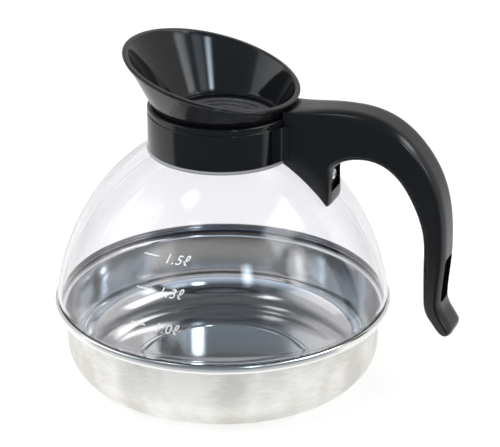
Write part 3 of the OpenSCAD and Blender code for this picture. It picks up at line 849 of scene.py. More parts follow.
def mirror_steel_finish(colours):
    """Bright annealed steel inside the pan, with the faint rings of its spinning."""
    material, tree, place = start_finish("mirror steel")
    rings = noise(tree, turned_place(tree, place, spread=1.2, pitch=700))
    clouds = noise(tree, place, scale=26.0, detail=3.0)
    colour = blend_shades(tree, clouds, dimmed(colours.mirror, 0.92), colours.mirror)
    roughness = ranged(tree, clouds, low=0.07, high=0.14)
    relief = bumped(tree, rings, strength=0.06, depth=0.05)
    end_finish(tree, colour, roughness, relief, {"Metallic": 1.0})
    return material


def polished_steel_finish(colours):
    """Polished band: near mirror, with hairlines from rolling."""
    material, tree, place = start_finish("polished steel")
    hairs = noise(tree, turned_place(tree, place, spread=3.0, pitch=2600), detail=3.0)
    colour = blend_shades(tree, hairs, dimmed(colours.mirror, 1.08), colours.mirror)
    roughness = ranged(tree, hairs, low=0.1, high=0.2)
    relief = bumped(tree, hairs, strength=0.08, depth=0.01)
    end_finish(tree, colour, roughness, relief, {"Metallic": 1.0})
    return material


def rubber_finish(colours):
    """Dark blue-black seal rubber with a matt, slightly grained skin."""
    return grained_finish(
        "seal rubber",
        shades=(colours.rubber, dimmed(colours.rubber, 1.5)),
        grain=(1800.0, 3.0),
        roughness=(0.45, 0.62),
        relief=(0.2, 0.05),
    )


def pad_finish(colours):
    """Milky, slightly translucent silicone."""
    return grained_finish(
        "pad silicone",
        shades=(colours.pad, dimmed(colours.pad, 0.9)),
        grain=(140.0, 2.0),
        roughness=(0.28, 0.42),
        relief=(0.1, 0.05),
        more={"Subsurface Weight": 0.25, "Subsurface Scale": 0.5 * MM},
    )


def strainer_finish(colours):
    """Dark grey moulded plastic with a satin skin."""
    return grained_finish(
        "strainer grey",
        shades=(colours.grey, dimmed(colours.grey, 1.3)),
        grain=(1500.0, 3.0),
        roughness=(0.22, 0.36),
        relief=(0.1, 0.03),
    )


def metal_finish(name, colour, roughness):
    """Machined metal for small fittings, with fine tool marks."""
    uneven = 0.06
    return grained_finish(
        name,
        shades=(colour, dimmed(colour, 0.8)),
        grain=(2400.0, 4.0),
        roughness=(roughness - uneven, roughness + uneven),
        relief=(0.12, 0.02),
        more={"Metallic": 1.0},
    )


def mark_finish(colours):
    """White printing ink, a little uneven where it was pressed on."""
    return grained_finish(
        "mark ink",
        shades=(colours.mark, dimmed(colours.mark, 0.93)),
        grain=(1200.0, 3.0),
        roughness=(0.4, 0.55),
        relief=(0.1, 0.02),
    )


def bowl_profile(v):
    """Closed profile of the bowl: flange, groove for the band, curved wall, neck with its bead."""
    outer_rise = 1.8
    inner_rise = 2.4
    groove_bend = 1.4
    lip_edge = 0.5
    bore_edge = 0.6
    start_z = v.band_top + outer_rise
    low_z = v.band_top + inner_rise
    inner_shoulder_z = curve_level(v, v.bore_r, -v.bowl_wall)
    groove_reach = curve_radius(v, start_z, 0) - v.groove_r
    outside = [(v.flange_r, v.rim_z, LIGHT), (v.flange_r, v.rim_top, LIGHT), (v.groove_r, v.rim_top)]
    outside += arc(v.groove_r, start_z, groove_reach, groove_bend, -90, 0)
    outside += curve_points(v, start_z, v.shoulder_z, 0, BOWL_STEPS)[1:]
    outside += arc(v.neck_r, v.bead_z, v.neck_bead, v.bead_h / 2, -90, 90)
    outside += [(v.neck_r, v.neck_top, lip_edge)]
    inside = [(curve_radius(v, low_z, -v.bowl_wall), v.rim_z, SOFT)]
    inside += curve_points(v, low_z, inner_shoulder_z, -v.bowl_wall, BOWL_STEPS)
    inside += [(v.bore_r, v.neck_top, bore_edge)]
    return rounded(outside + inside[::-1])


def wrapped(v, mesh, turn, level):
    """Lays a flat mesh, in metres, on the bowl: local X runs round it and local Y up its slope."""
    lift = 0.03
    half_step = 0.5
    for vertex in mesh.vertices:
        slope_x = curve_radius(v, level + half_step, 0) - curve_radius(v, level - half_step, 0)
        z = level + vertex.co.y / MM / math.hypot(slope_x, 1)
        radius = curve_radius(v, z, 0) + lift + vertex.co.z / MM
        angle = turn * DEGREE + vertex.co.x / MM / radius
        vertex.co = Vector((radius * math.cos(angle), radius * math.sin(angle), z)) * MM
    return mesh


def stroke_mesh(width, height):
    """A slender upright stroke laid along X, with round ends, cut into short steps to bend."""
    half = height / 2
    reach = width / 2 - half
    steps = 12
    top = [(-reach + 2 * reach * i / steps, half) for i in range(steps + 1)]
    outline = top + arc(reach, 0, half, half, 90, -90, steps=6)[1:-1]
    outline += [(-x, -y) for x, y in top] + arc(-reach, 0, half, half, 270, 90, steps=6)[1:-1]
    return extruded("stroke", outline, INK_DEPTH, Matrix.Identity(4))


def letter_mesh(words, size):
    """Slanted lettering as a flat mesh with a little thickness, size in metres."""
    text = bpy.data.curves.new("lettering", "FONT")
    text.body = words
    text.size = size
    text.shear = 0.28
    text.space_character = 1.12
    text.extrude = INK_DEPTH / 2 * MM
    text.offset = 0.004 * size
    holder = link_object("lettering", text)
    graph = bpy.context.evaluated_depsgraph_get()
    mesh = bpy.data.meshes.new_from_object(holder.evaluated_get(graph))
    bpy.data.objects.remove(holder)
    return mesh


def marks_mesh(v):
    """One mesh of all level marks, each with its letters and its tick."""
    whole = bmesh.new()
    for words, level in LEVEL_MARKS:
        letters = letter_mesh(words, v.mark_height * MM)
        whole.from_mesh(wrapped(v, letters, LETTERS_AT, level - LETTER_DROP))
        whole.from_mesh(wrapped(v, stroke_mesh(TICK_LENGTH, TICK_WIDTH), TICKS_AT, level))
    joined = bpy.data.meshes.new("level_marks")
    whole.to_mesh(joined)
    whole.free()
    return joined


class CARAFE_OT_bowl(bpy.types.Operator):
    """Build the clear bowl and its level marks"""

    bl_idname = "carafe.bowl"
    bl_label = "Clear bowl"

    def execute(self, context):
        v = measures(context)
        colours = context.scene.carafe_colours
        bowl = spun("clear_bowl", bowl_profile(v), clear_plastic_finish(colours))
        settle(bowl, "carafe", "clear_plastic", "bowl")
        marks = link_object("level_marks", marks_mesh(v))
        dress(marks, mark_finish(colours))
        settle(marks, "carafe", "clear_plastic")
        return {"FINISHED"}


def pan_line(v, inner):
    """The pan's sheet as a line, moved inwards by the sheet's thickness where inner is 1."""
    t = inner * v.pan_t
    bend = v.pan_bend + t
    corner_x = v.pan_wall_r - v.pan_draft - v.pan_corner_w
    corner_z = v.pan_corner_h
    line = [(0, t)]
    line += arc(v.pan_bead_r, t, v.pan_bead_w, v.pan_bead_h, 180, 0, steps=8)
    line += arc(corner_x, corner_z, v.pan_corner_w - t, corner_z - t, -90, 0, steps=24)
    line += arc(v.pan_wall_r + v.pan_bend, v.pan_h - v.pan_bend, bend, bend, 180, 90)
    return line + [(v.flange_r, v.pan_h + t)]


def paint_inside(mesh, place):
    """Gives the faces that look up or towards the axis the material in that place."""
    for face in mesh.polygons:
        outwards = Vector((face.center.x, face.center.y, 0)).normalized()
        if face.normal.z - face.normal.dot(outwards) > 0:
            face.material_index = place


def rim_seal_profile(v):
    """Closed profile of the flat seal between the two flanges."""
    in_r = v.pan_wall_r + v.pan_bend - 2 * v.seat_gap
    out_r = v.flange_r - 2 * v.seat_gap
    top = v.rim_seal_z + v.rim_seal_t
    corners = [(in_r, v.rim_seal_z), (out_r, v.rim_seal_z), (out_r, top), (in_r, top)]
    return rounded([(*corner, NEAT) for corner in corners])


def band_profile(v):
    """The band's sheet: its foot under the pan's flange, two rolled corners and its lip."""
    lip_cover = 0.7
    lip_r = v.groove_r + lip_cover
    foot_r = v.pan_wall_r + v.pan_bend
    roll_x = v.band_r - v.band_roll
    inner_roll = v.band_roll - v.band_t
    low = v.band_low + v.band_roll
    high = v.band_top - v.band_roll
    outside = [(foot_r, v.band_low, FINE)]
    outside += arc(roll_x, low, v.band_roll, v.band_roll, -90, 0)
    outside += arc(roll_x, high, v.band_roll, v.band_roll, 0, 90)
    outside += [(lip_r, v.band_top, FINE)]
    inside = [(foot_r, v.band_low + v.band_t, FINE)]
    inside += arc(roll_x, low, inner_roll, inner_roll, -90, 0)
    inside += arc(roll_x, high, inner_roll, inner_roll, 0, 90)
    inside += [(lip_r, v.band_top - v.band_t, FINE)]
    return rounded(outside + inside[::-1])


class CARAFE_OT_base(bpy.types.Operator):
    """Build the steel pan, the seal on its flange and the crimped band"""

    bl_idname = "carafe.base"
    bl_label = "Steel pan, seal and band"

    def execute(self, context):
        v = measures(context)
        colours = context.scene.carafe_colours
        pan = spun("steel_pan", pan_line(v, 0) + pan_line(v, 1)[::-1], brushed_steel_finish(colours))
        pan.data.materials.append(mirror_steel_finish(colours))
        paint_inside(pan.data, 1)
        settle(pan, "carafe", "brushed_steel", "base_pan")
        seal = spun("flange_seal", rim_seal_profile(v), rubber_finish(colours))
        settle(seal, "carafe", "seal_rubber", "rim_seal")
        band = spun("rolled_band", band_profile(v), polished_steel_finish(colours))
        settle(band, "carafe", "polished_steel", "crimp_band")
        return {"FINISHED"}


def pad_profile(v):
    """Closed profile of the pad, which lies on the bowl's shoulder."""
    corners = [(v.pad_in_r, v.seat_gap), (v.pad_out_r, v.seat_gap)]
    corners += [(v.pad_out_r, v.pad_low), (v.pad_in_r, v.pad_low)]
    return rounded([(r, curve_level(v, r, 0) + rise, EASY) for r, rise in corners])


def collar_profile(v):
    """Closed profile of the collar's ring with its groove outside and its bead groove inside."""
    groove_edge = 0.45
    top_edge = 0.8
    groove_top = v.collar_top - v.groove_drop
    groove_low = groove_top - v.groove_w
    floor_r = v.collar_r - v.groove_depth
    seat_z = v.neck_top + v.seat_gap
    foot_z = curve_level(v, v.pad_in_r, 0) + v.collar_low
    profile = [(v.collar_bore, foot_z), (v.pad_in_r, foot_z)]
    profile += [(v.collar_r, curve_level(v, v.collar_r, 0) + v.collar_low, SOFT)]
    profile += [(v.collar_r, groove_low, groove_edge), (floor_r, groove_low, CRISP)]
    profile += [(floor_r, groove_top, CRISP), (v.collar_r, groove_top, groove_edge)]
    profile += [(v.collar_r, v.collar_top, top_edge), (v.mouth_r, v.collar_top, EASY)]
    profile += [(v.mouth_r, seat_z, CRISP), (v.collar_bore, seat_z)]
    profile += arc(v.collar_bore, v.bead_z, v.neck_bead, v.bead_h / 2 + v.fit_gap, 90, -90)
    return rounded(profile)


def cheek_mesh(v, side):
    """Cheek that spreads from the collar's side to the handle's side, below the groove."""
    turn = 29 * DEGREE
    stand_out = 0.9
    overlap = 2.2
    cheek_t = 0.3
    pull = 3
    mid_r = (v.collar_bore + v.collar_r) / 2
    low = curve_level(v, v.pad_in_r, 0) + v.collar_low
    high = v.collar_top - v.groove_drop - v.groove_w
    spread = Vector((math.cos(turn), math.sin(turn)))
    side_y = v.handle_w / 2 + v.fit_gap
    edge = (v.collar_r + stand_out) * spread
    end = Vector((v.root_r + overlap, side_y + cheek_t))
    leave = edge + pull * Vector((spread.y, -spread.x))
    arrive = end - Vector((pull, 0))
    outline = [mid_r * spread]
    outline += [cubic(edge, leave, arrive, end, i / CURVE_STEPS) for i in range(CURVE_STEPS + 1)]
    outline += [Vector((end.x, side_y)), Vector((math.sqrt(mid_r**2 - side_y**2), side_y))]
    points = [(x, side * y) for x, y in outline]
    return extruded("cheek", points, high - low, Matrix.Translation((0, 0, low)))


def tang_outline(v, grow):
    """Outline of the tang in the XZ plane, grown all round for its socket."""
    far = v.tang_x + grow
    outline = []
    for i in range(CURVE_STEPS + 1):
        x = v.bore_r + (far - v.bore_r) * i / CURVE_STEPS
        outline.append((x, curve_level(v, x, v.tang_gap - grow)))
    return outline + [(far, v.tang_z + grow), (v.bore_r, v.tang_z + grow)]


def screw_axis(v, i, x):
    """Matrix that lays local Z along a screw's axis, with its zero at that x."""
    turn = Matrix.Rotation(math.pi / 2, 4, "Y")
    return Matrix.Translation((x, 0, v.screw_z + v.screw_pitch * i)) @ turn


def screw_holes(v, radius, first, last):
    """Round cutters on both screws' axes, from one x to another."""
    ring = circle(radius, HOLE_STEPS)
    return [extruded("hole", ring, last - first, screw_axis(v, i, first)) for i in (0, 1)]


def tang_mesh(v):
    """The tang with its seats for the inserts and its holes for the screws' ends."""
    hole_room = 0.4
    tang = link_object("tang", upright(tang_outline(v, 0), v.tang_w))
    hole_low = v.floor_x - v.screw_l - hole_room
    seats = screw_holes(v, v.insert_r + v.seat_gap, v.tang_x - v.insert_l, v.tang_x + OVERCUT)
    seats += screw_holes(v, v.screw_r + v.screw_gap, hole_low, v.tang_x)
    carve(tang, [column((v.collar_bore + v.collar_r) / 2, v.crest_z), *seats])
    mesh = tang.data
    bpy.data.objects.remove(tang)
    return mesh


class CARAFE_OT_collar(bpy.types.Operator):
    """Build the collar with its cheeks and tang, and the pad under it"""

    bl_idname = "carafe.collar"
    bl_label = "Collar and pad"

    def execute(self, context):
        v = measures(context)
        colours = context.scene.carafe_colours
        pad = spun("shoulder_pad", pad_profile(v), pad_finish(colours))
        settle(pad, "carafe", "pad_silicone", "neck_pad")
        black = gloss_black_finish(colours)
        collar = spun("neck_collar", collar_profile(v), black)
        carve(collar, [cheek_mesh(v, 1), cheek_mesh(v, -1), tang_mesh(v)], "UNION")
        dress(collar, black)
        soften(collar.data)
        settle(collar, "carafe", "gloss_black", "collar")
        return {"FINISHED"}


def rim_point(v, theta, grow, drop):
    """(radius, level) on the cone's outside moved out by grow, drop below the tilted rim plane."""
    lean = math.cos(theta) * math.tan(v.tilt)
    foot = v.funnel_r + grow
    height = v.funnel_h - drop / math.cos(v.tilt)
    rise = (height - foot * lean) / (1 + v.flare * lean)
    return foot + v.flare * rise, v.cone_z + rise


def pad_lift(v, theta, z):
    """How far a grip pad lifts the cone's outside at an angle and a level."""
    lift = 0
    slope = v.grip_pad_slope
    low = v.cone_z + v.grip_pad_rise
    for middle in (v.grip_pad_turn, -v.grip_pad_turn):
        past_edge = v.grip_pad_half - abs(theta / DEGREE - middle)
        around = min(1, max(0, past_edge * DEGREE * v.funnel_r / slope))
        upwards = min(1, max(0, (z - low) / slope), max(0, (low + v.grip_pad_h - z) / slope))
        lift += v.grip_pad_lift * min(around, upwards)
    return lift


def spigot_points(v):
    """Corners of the funnel's profile from the throat's foot round the spigot to the cone's foot."""
    spigot_edge = 0.6
    groove_top = v.seal_groove_z + v.seal_groove_h
    points = [(v.throat_r, v.spigot_low, SOFT), (v.spigot_r, v.spigot_low, spigot_edge)]
    points += [(v.spigot_r, v.seal_groove_z, CRISP), (v.seal_groove_r, v.seal_groove_z, CRISP)]
    points += [(v.seal_groove_r, groove_top, CRISP), (v.spigot_r, groove_top, CRISP)]
    points += [(v.spigot_r, v.plug_z, NEAT), (v.plug_r, v.plug_z, NEAT)]
    return points + [(v.plug_r, v.cone_z, CRISP), (v.funnel_r, v.cone_z, FINE)]


def rim_points(v, theta):
    """Corners of the funnel's profile at the bead round its rim, at one angle."""
    under_edge = 0.5
    outer_edge = 0.7
    inner_edge = 0.8
    out = v.rim_bead_out
    lift = pad_lift(v, theta, rim_point(v, theta, 0, v.rim_bead_h)[1])
    points = [(*rim_point(v, theta, lift, v.rim_bead_h), LIGHT * (1 - lift / out))]
    points += [(*rim_point(v, theta, out, v.rim_bead_h), under_edge)]
    points += [(*rim_point(v, theta, out, 0), outer_edge)]
    return points + [(*rim_point(v, theta, -v.funnel_wall, 0), inner_edge)]


def throat_points(v, ledge):
    """Corners of the funnel's profile from its ledge down the throat, past the strainer's lip."""
    lip_z = v.strainer_z - v.seat_gap
    lip_r = v.throat_r - v.strainer_lip_w
    lip_low = lip_z - v.strainer_lip_h
    points = [(*ledge, SOFT), (v.throat_r, v.ledge_z, EASY)]
    points += [(v.throat_r, lip_z), (lip_r, lip_z, NEAT), (lip_r, lip_low, NEAT)]
    return points + [(v.throat_r, lip_low - v.strainer_lip_w)]


def funnel_ring(v, theta):
    """Closed profile of the funnel at one angle round the axis."""
    outer_steps = 44
    inner_steps = 12
    inner_drop = 2
    foot = Vector((v.funnel_r, v.cone_z))
    under = Vector(rim_point(v, theta, 0, v.rim_bead_h))
    mouth = Vector(rim_point(v, theta, -v.funnel_wall, inner_drop))
    inner_foot = v.funnel_r - v.funnel_wall + (v.ledge_z - v.cone_z) * v.flare
    ledge = Vector((inner_foot, v.ledge_z))
    ring = spigot_points(v)
    for i in range(1, outer_steps):
        r, z = foot.lerp(under, i / outer_steps)
        ring.append((r + pad_lift(v, theta, z), z))
    ring += rim_points(v, theta)
    ring += [tuple(mouth.lerp(ledge, i / inner_steps)) for i in range(inner_steps)]
    return rounded(ring + throat_points(v, ledge))


def funnel_mesh(v):
    """The funnel as rings of points round the axis."""
    points = []
    faces = []
    for i in range(FUNNEL_STEPS):
        theta = 2 * math.pi * i / FUNNEL_STEPS - math.pi
        ring = funnel_ring(v, theta)
        points += [(r * math.cos(theta), r * math.sin(theta), z) for r, z in ring]
    count = len(points) // FUNNEL_STEPS
    for i in range(FUNNEL_STEPS):
        here = i * count
        there = (i + 1) % FUNNEL_STEPS * count
        for j in range(count):
            k = (j + 1) % count
            faces.append((here + j, there + j, there + k, here + k))
    return make_mesh("pouring_funnel", points, faces)


def seal_profile(v):
    """Closed profile of the funnel's seal with its two ridges."""
    room = 0.1
    ridge_h = 0.6
    ridge_share = 3 / 16
    low = v.seal_groove_z + room
    high = v.seal_groove_z + v.seal_groove_h - room
    ridge_rise = (high - low) * ridge_share
    in_r = v.seal_groove_r + room
    out_r = v.bore_r - v.seat_gap
    valley_r = out_r - ridge_h
    profile = [(in_r, low, CRISP), (valley_r, low, CRISP), (out_r, low + ridge_rise, FINE)]
    profile += [(valley_r, (low + high) / 2, CRISP), (out_r, high - ridge_rise, FINE)]
    return rounded(profile + [(valley_r, high, CRISP), (in_r, high, CRISP)])


def strainer_tree():
    """Tree of the strainer: rings of one profile at an even pitch, joined by spokes."""
    inputs = {
        "Profile": "Geometry",
        "Rings": "Int",
        "Pitch": "Float",
        "Path radius": "Float",
        "Steps": "Int",
        "Spokes": "Int",
        "Spoke size": "Vector",
        "Spoke start": "Vector",
        "Finish": "Material",
    }
    tree, given = node_group("strainer", inputs)
    step = output(tree, "ShaderNodeCombineXYZ", {"X": worked(tree, given["Pitch"], -1.0)})
    places = output(tree, "GeometryNodeMeshLine", {"Count": given["Rings"], "Offset": step})
    profiles = copied(tree, places, given["Profile"], (0, 0, 0))
    flat = output(tree, "GeometryNodeRealizeInstances", {"Geometry": profiles})
    bar = output(tree, "GeometryNodeMeshCube", {"Size": given["Spoke size"]})
    bar_feeds = {"Geometry": bar, "Translation": given["Spoke start"]}
    placed_bar = output(tree, "GeometryNodeTransform", bar_feeds)
    hub = output(tree, "GeometryNodeMeshLine", {"Count": given["Spokes"], "Offset": (0, 0, 0)})
    between = worked(tree, output(tree, "GeometryNodeInputIndex"), 0.5, "ADD")
    angle = worked(tree, worked(tree, between, given["Spokes"], "DIVIDE"), 2 * math.pi)
    turn = output(tree, "ShaderNodeCombineXYZ", {"Z": angle})
    both = add_node(tree, "GeometryNodeJoinGeometry")
    tree.links.new(turned(tree, given, flat), both.inputs[0])
    tree.links.new(copied(tree, hub, placed_bar, turn), both.inputs[0])
    end_tree(tree, both.outputs[0], given["Finish"])
    return tree


def strainer_profile(v):
    """Closed profile of the strainer's outer ring, with a low crest."""
    top = v.strainer_z + v.strainer_t
    crest_z = top + v.strainer_crest
    slant = v.strainer_ring_w / 4
    in_r = v.strainer_r - v.strainer_ring_w
    out_r = v.strainer_r
    profile = [(in_r, v.strainer_z, NEAT), (out_r, v.strainer_z, NEAT), (out_r, top, NEAT)]
    profile += [(out_r - slant, crest_z, LIGHT), (in_r + slant, crest_z, LIGHT), (in_r, top, NEAT)]
    return rounded(profile)


def build_strainer(v, finish):
    """The strainer from its tree. Its spokes end inside the outer ring and at the eye."""
    eye_edge = 0.5
    bury = 0.1
    pitch = v.strainer_ring_w + v.strainer_slot
    first = v.strainer_r - v.strainer_rings * pitch + v.strainer_slot + eye_edge
    last = v.strainer_r - v.strainer_ring_w / 4
    spoke_size = Vector((last - first, v.strainer_spoke_w, v.strainer_t - 2 * bury))
    spoke_start = Vector(((first + last) / 2, 0, v.strainer_z + v.strainer_t / 2))
    values = {
        "Rings": v.strainer_rings,
        "Pitch": pitch * MM,
        "Path radius": PATH_RADIUS,
        "Steps": ROUND_STEPS,
        "Spokes": v.strainer_spokes,
        "Spoke size": spoke_size * MM,
        "Spoke start": spoke_start * MM,
        "Finish": finish,
    }
    piece = profile_wire("slotted_strainer", strainer_profile(v))
    run_tree(piece, strainer_tree(), values)
    close_shells(piece.data)
    soften(piece.data)
    return piece


class CARAFE_OT_funnel(bpy.types.Operator):
    """Build the pouring funnel, its seal and the strainer"""

    bl_idname = "carafe.funnel"
    bl_label = "Funnel, seal and strainer"

    def execute(self, context):
        v = measures(context)
        colours = context.scene.carafe_colours
        funnel = link_object("pouring_funnel", funnel_mesh(v))
        dress(funnel, gloss_black_finish(colours))
        soften(funnel.data)
        settle(funnel, "funnel", "gloss_black", "funnel")
        seal = spun("spigot_seal", seal_profile(v), rubber_finish(colours))
        settle(seal, "funnel", "seal_rubber", "funnel_seal")
        strainer = build_strainer(v, strainer_finish(colours))
        settle(strainer, "funnel", "strainer_grey", "strainer")
        return {"FINISHED"}


def handle_stations(v):
    """Stations of the handle's outline in the XZ plane: x, z, heading and share of the edge radius.

    They run along the back to the tip, up the grip's inside, round the arch and down the lug.
    Those of the sweep hold, in place of z, the share of the fall from the crest to the tip.
    """
    lug_bend = 10.4
    lug_curl = 4
    run = v.spine_x - v.root_r
    sweep = [
        (v.root_r + 0.375 * run, 0, 0, 1),
        (v.root_r + 0.803 * run, 0.137, -48, 1),
        (v.spine_x, v.spine_share, -90, 1),
        (v.spine_x - v.waist_step, v.waist_share, -92, 0.8),
        (v.spine_x + 4, 0.962, -62, 0.6),
        (v.spine_x + 2.9, 1, -150, 0.6),
        (v.grip_x + 4, 0.934, 130, 0.7),
        (v.grip_x + 0.3, 0.8, 92, 0.9),
        (v.grip_x, 0.635, 90, 1),
        (v.grip_x - 4.6, 0.424, 114, 1),
    ]
    stations = [(v.collar_bore, v.root_top, 4, 0)]
    stations += [(x, v.crest_z - part * v.fall, turn, share) for x, part, turn, share in sweep]
    stations += [(v.arch_x, v.arch_z, 180, 1), (v.lug_x, v.arch_z - lug_bend, -91, 0.8)]
    stations += [(v.lug_x, v.lug_low_z + lug_curl, -91, 0.4), (v.lug_low_x, v.lug_low_z, 172, 0.3)]
    join_z = curve_level(v, v.join_x, v.side_gap)
    return stations + [(v.join_x, join_z, bowl_heading(v, v.join_x), 0.3)]


def bowl_heading(v, x):
    """Heading of the bowl's curve towards its neck, in degrees."""
    rise = curve_level(v, x - 1, v.side_gap) - curve_level(v, x, v.side_gap)
    return math.atan2(rise, -1) / DEGREE


def heading_vector(degrees):
    """Unit vector of a heading in the XZ plane."""
    return Vector((math.cos(degrees * DEGREE), math.sin(degrees * DEGREE)))


def run_between(start, end):
    """Points of the cubic run between two stations: place, inward direction and edge share."""
    p0 = Vector(start[:2])
    p3 = Vector(end[:2])
    pull = (p3 - p0).length * RUN_PULL
    p1 = p0 + pull * heading_vector(start[2])
    p2 = p3 - pull * heading_vector(end[2])
    points = []
    for i in range(CURVE_STEPS):
        t = i / CURVE_STEPS
        slope = (1 - t) ** 2 * (p1 - p0) + 2 * t * (1 - t) * (p2 - p1) + t * t * (p3 - p2)
        slope.normalize()
        edge_share = start[3] + (end[3] - start[3]) * t
        points.append((cubic(p0, p1, p2, p3, t), Vector((slope.y, -slope.x)), edge_share))
    return points


def handle_outline(v):
    """All points of the handle's outline, closed along the bowl from the lug to the root."""
    stations = handle_stations(v)
    outline = []
    for start, end in zip(stations, stations[1:]):
        outline += run_between(start, end)
    for i in range(CURVE_STEPS + 1):
        x = v.join_x + (v.collar_bore - v.join_x) * i / CURVE_STEPS
        slope = heading_vector(bowl_heading(v, x))
        place = Vector((x, curve_level(v, x, v.side_gap)))
        edge_share = stations[-1][3] * (1 - i / CURVE_STEPS)
        outline.append((place, Vector((slope.y, -slope.x)), edge_share))
    return outline


def handle_form(v):
    """The handle's outer form: its outline carried across, with all long edges rounded."""
    outline = handle_outline(v)
    count = len(outline)
    points = []
    angles = [90 * i / EDGE_STEPS * DEGREE for i in range(EDGE_STEPS + 1)]
    for side, sweep in ((-1, angles), (1, angles[::-1])):
        for angle in sweep:
            y = side * (v.handle_w / 2 - v.edge_w * (1 - math.cos(angle)))
            for place, inward, part in outline:
                x, z = place + inward * v.edge_r * part * (1 - math.sin(angle))
                points.append((x, y, z))
    rings = 2 * (EDGE_STEPS + 1)
    faces = [tuple(range(count)), tuple(range((rings - 1) * count, rings * count))]
    for i in range(rings - 1):
        for j in range(count):
            here = i * count + j
            beside = i * count + (j + 1) % count
            faces.append((here, here + count, beside + count, beside))
    return make_mesh("moulded_handle", points, faces)


def bowl_room(v):
    """Cutter of the bowl's round shoulder under the handle, moved outwards by the lug's gap."""
    depth = 4
    low = v.lug_low_z - depth
    high = curve_level(v, v.neck_r, v.lug_gap)
    profile = [(0, low)] + curve_points(v, low, high, v.lug_gap, steps=24) + [(0, high)]
    room = spun("bowl room", profile, None)
    mesh = room.data
    bpy.data.objects.remove(room)
    return mesh


def recess_mesh(v):
    """Cutter of the recess on the lug's finger side, which runs up into the arch."""
    head_room = 0.3
    end_angle = 112
    low_z = v.screw_z - v.recess_low
    turn_z = v.screw_z + v.screw_pitch + v.screw_head_r + head_room
    turn_h = v.arch_z + v.recess_depth - turn_z
    outline = [(v.lug_x + OVERCUT, low_z), (v.floor_x, low_z)]
    outline += arc(v.arch_x, turn_z, v.arch_x - v.floor_x, turn_h, 180, end_angle, steps=12)
    outline += [(v.arch_x, turn_z)]
    return upright(outline, v.recess_w)


def pocket_mesh(v):
    """Cutter of the pocket in the back of the grip, square to the leaning spine."""
    pocket_rise = 28
    corner = 2.4
    high = Vector((v.spine_x, v.crest_z - v.spine_share * v.fall))
    foot = Vector((v.spine_x - v.waist_step, v.crest_z - v.waist_share * v.fall))
    lean = math.atan2(high.x - foot.x, high.y - foot.y)
    middle_x = (high.x + foot.x) / 2
    x = v.pocket_w / 2
    y = v.pocket_h / 2
    corners = [(x, -y, corner), (x, y, corner), (-x, y, corner), (-x, -y, corner)]
    place = (
        Matrix.Translation((middle_x - v.pocket_depth, 0, v.tip_z + pocket_rise))
        @ Matrix.Rotation(lean, 4, "Y")
        @ Matrix.Rotation(math.pi / 2, 4, "Z")
        @ Matrix.Rotation(math.pi / 2, 4, "X")
    )
    return extruded("pocket", rounded(corners, steps=8), 2 * v.pocket_depth, place)


def build_handle(v, finish):
    """The handle: its form less the collar, the pad, the tang's socket, the recess and the pocket."""
    handle = link_object("moulded_handle", handle_form(v))
    cutters = [
        column(v.root_r, v.crest_z + OVERCUT),
        column(v.pad_out_r + v.fit_gap, curve_level(v, v.collar_r, 0) + v.collar_low),
        bowl_room(v),
        upright(tang_outline(v, v.fit_gap), v.tang_w + 2 * v.fit_gap),
        recess_mesh(v),
        pocket_mesh(v),
    ]
    hole_low = v.floor_x - v.screw_l
    cutters += screw_holes(v, v.screw_r + v.screw_gap, hole_low, v.floor_x + OVERCUT)
    carve(handle, cutters)
    dress(handle, finish)
    soften(handle.data)
    weigh = handle.modifiers.new("even shading", "WEIGHTED_NORMAL")
    weigh.keep_sharp = True
    make_plain(handle)
    return handle


def screw_mesh(v, finish):
    """One pan-head screw on local Z, with a cross recess and a threaded shank."""
    pitch = 0.8
    point_l = 0.3
    smooth_l = 1
    neck_z = -0.4
    end_r = v.screw_r * 0.8
    root_r = v.screw_r * 0.82
    slot_x = 1.7
    slot_y = 0.45
    slot_depth = 1
    profile = [(0, -v.screw_l), (end_r, -v.screw_l)]
    for i in range(int((v.screw_l - smooth_l) / pitch)):
        z = -v.screw_l + point_l + i * pitch
        profile += [(root_r, z), (v.screw_r, z + pitch / 2)]
    profile += [(root_r, neck_z), (v.screw_r, v.seat_gap), (v.screw_head_r, v.seat_gap)]
    profile += arc(0, v.screw_head_h / 2, v.screw_head_r, v.screw_head_h / 2, 0, 90, steps=12)
    screw = spun("screw", profile, finish, SCREW_STEPS)
    corners = [(slot_x, -slot_y), (slot_x, slot_y), (-slot_x, slot_y), (-slot_x, -slot_y)]
    outline = rounded([(*corner, NEAT) for corner in corners], steps=3)
    slots = []
    for turn in (0, 90):
        lift = Matrix.Translation((0, 0, v.screw_head_h - slot_depth))
        place = Matrix.Rotation(turn * DEGREE, 4, "Z") @ lift
        slots.append(extruded("slot", outline, slot_depth + OVERCUT, place))
    carve(screw, slots)
    return screw


def screw_tree():
    """Tree that puts one screw on each point of an upright line."""
    inputs = {
        "Screw": "Geometry",
        "Count": "Int",
        "First place": "Vector",
        "Pitch": "Vector",
        "Turn": "Vector",
        "Finish": "Material",
    }
    tree, given = node_group("lug screws", inputs)
    line = {"Count": given["Count"], "Start Location": given["First place"], "Offset": given["Pitch"]}
    places = output(tree, "GeometryNodeMeshLine", line)
    end_tree(tree, copied(tree, places, given["Screw"], given["Turn"]), given["Finish"])
    return tree


def build_screws(v, finish):
    """Both screws of the lug, from one screw and their tree."""
    screws = screw_mesh(v, finish)
    screws.name = "lug_screws"
    values = {
        "Count": 2,
        "First place": Vector((v.floor_x, 0, v.screw_z)) * MM,
        "Pitch": Vector((0, 0, v.screw_pitch)) * MM,
        "Turn": Vector((0, math.pi / 2, 0)),
        "Finish": finish,
    }
    run_tree(screws, screw_tree(), values)
    soften(screws.data)
    return screws


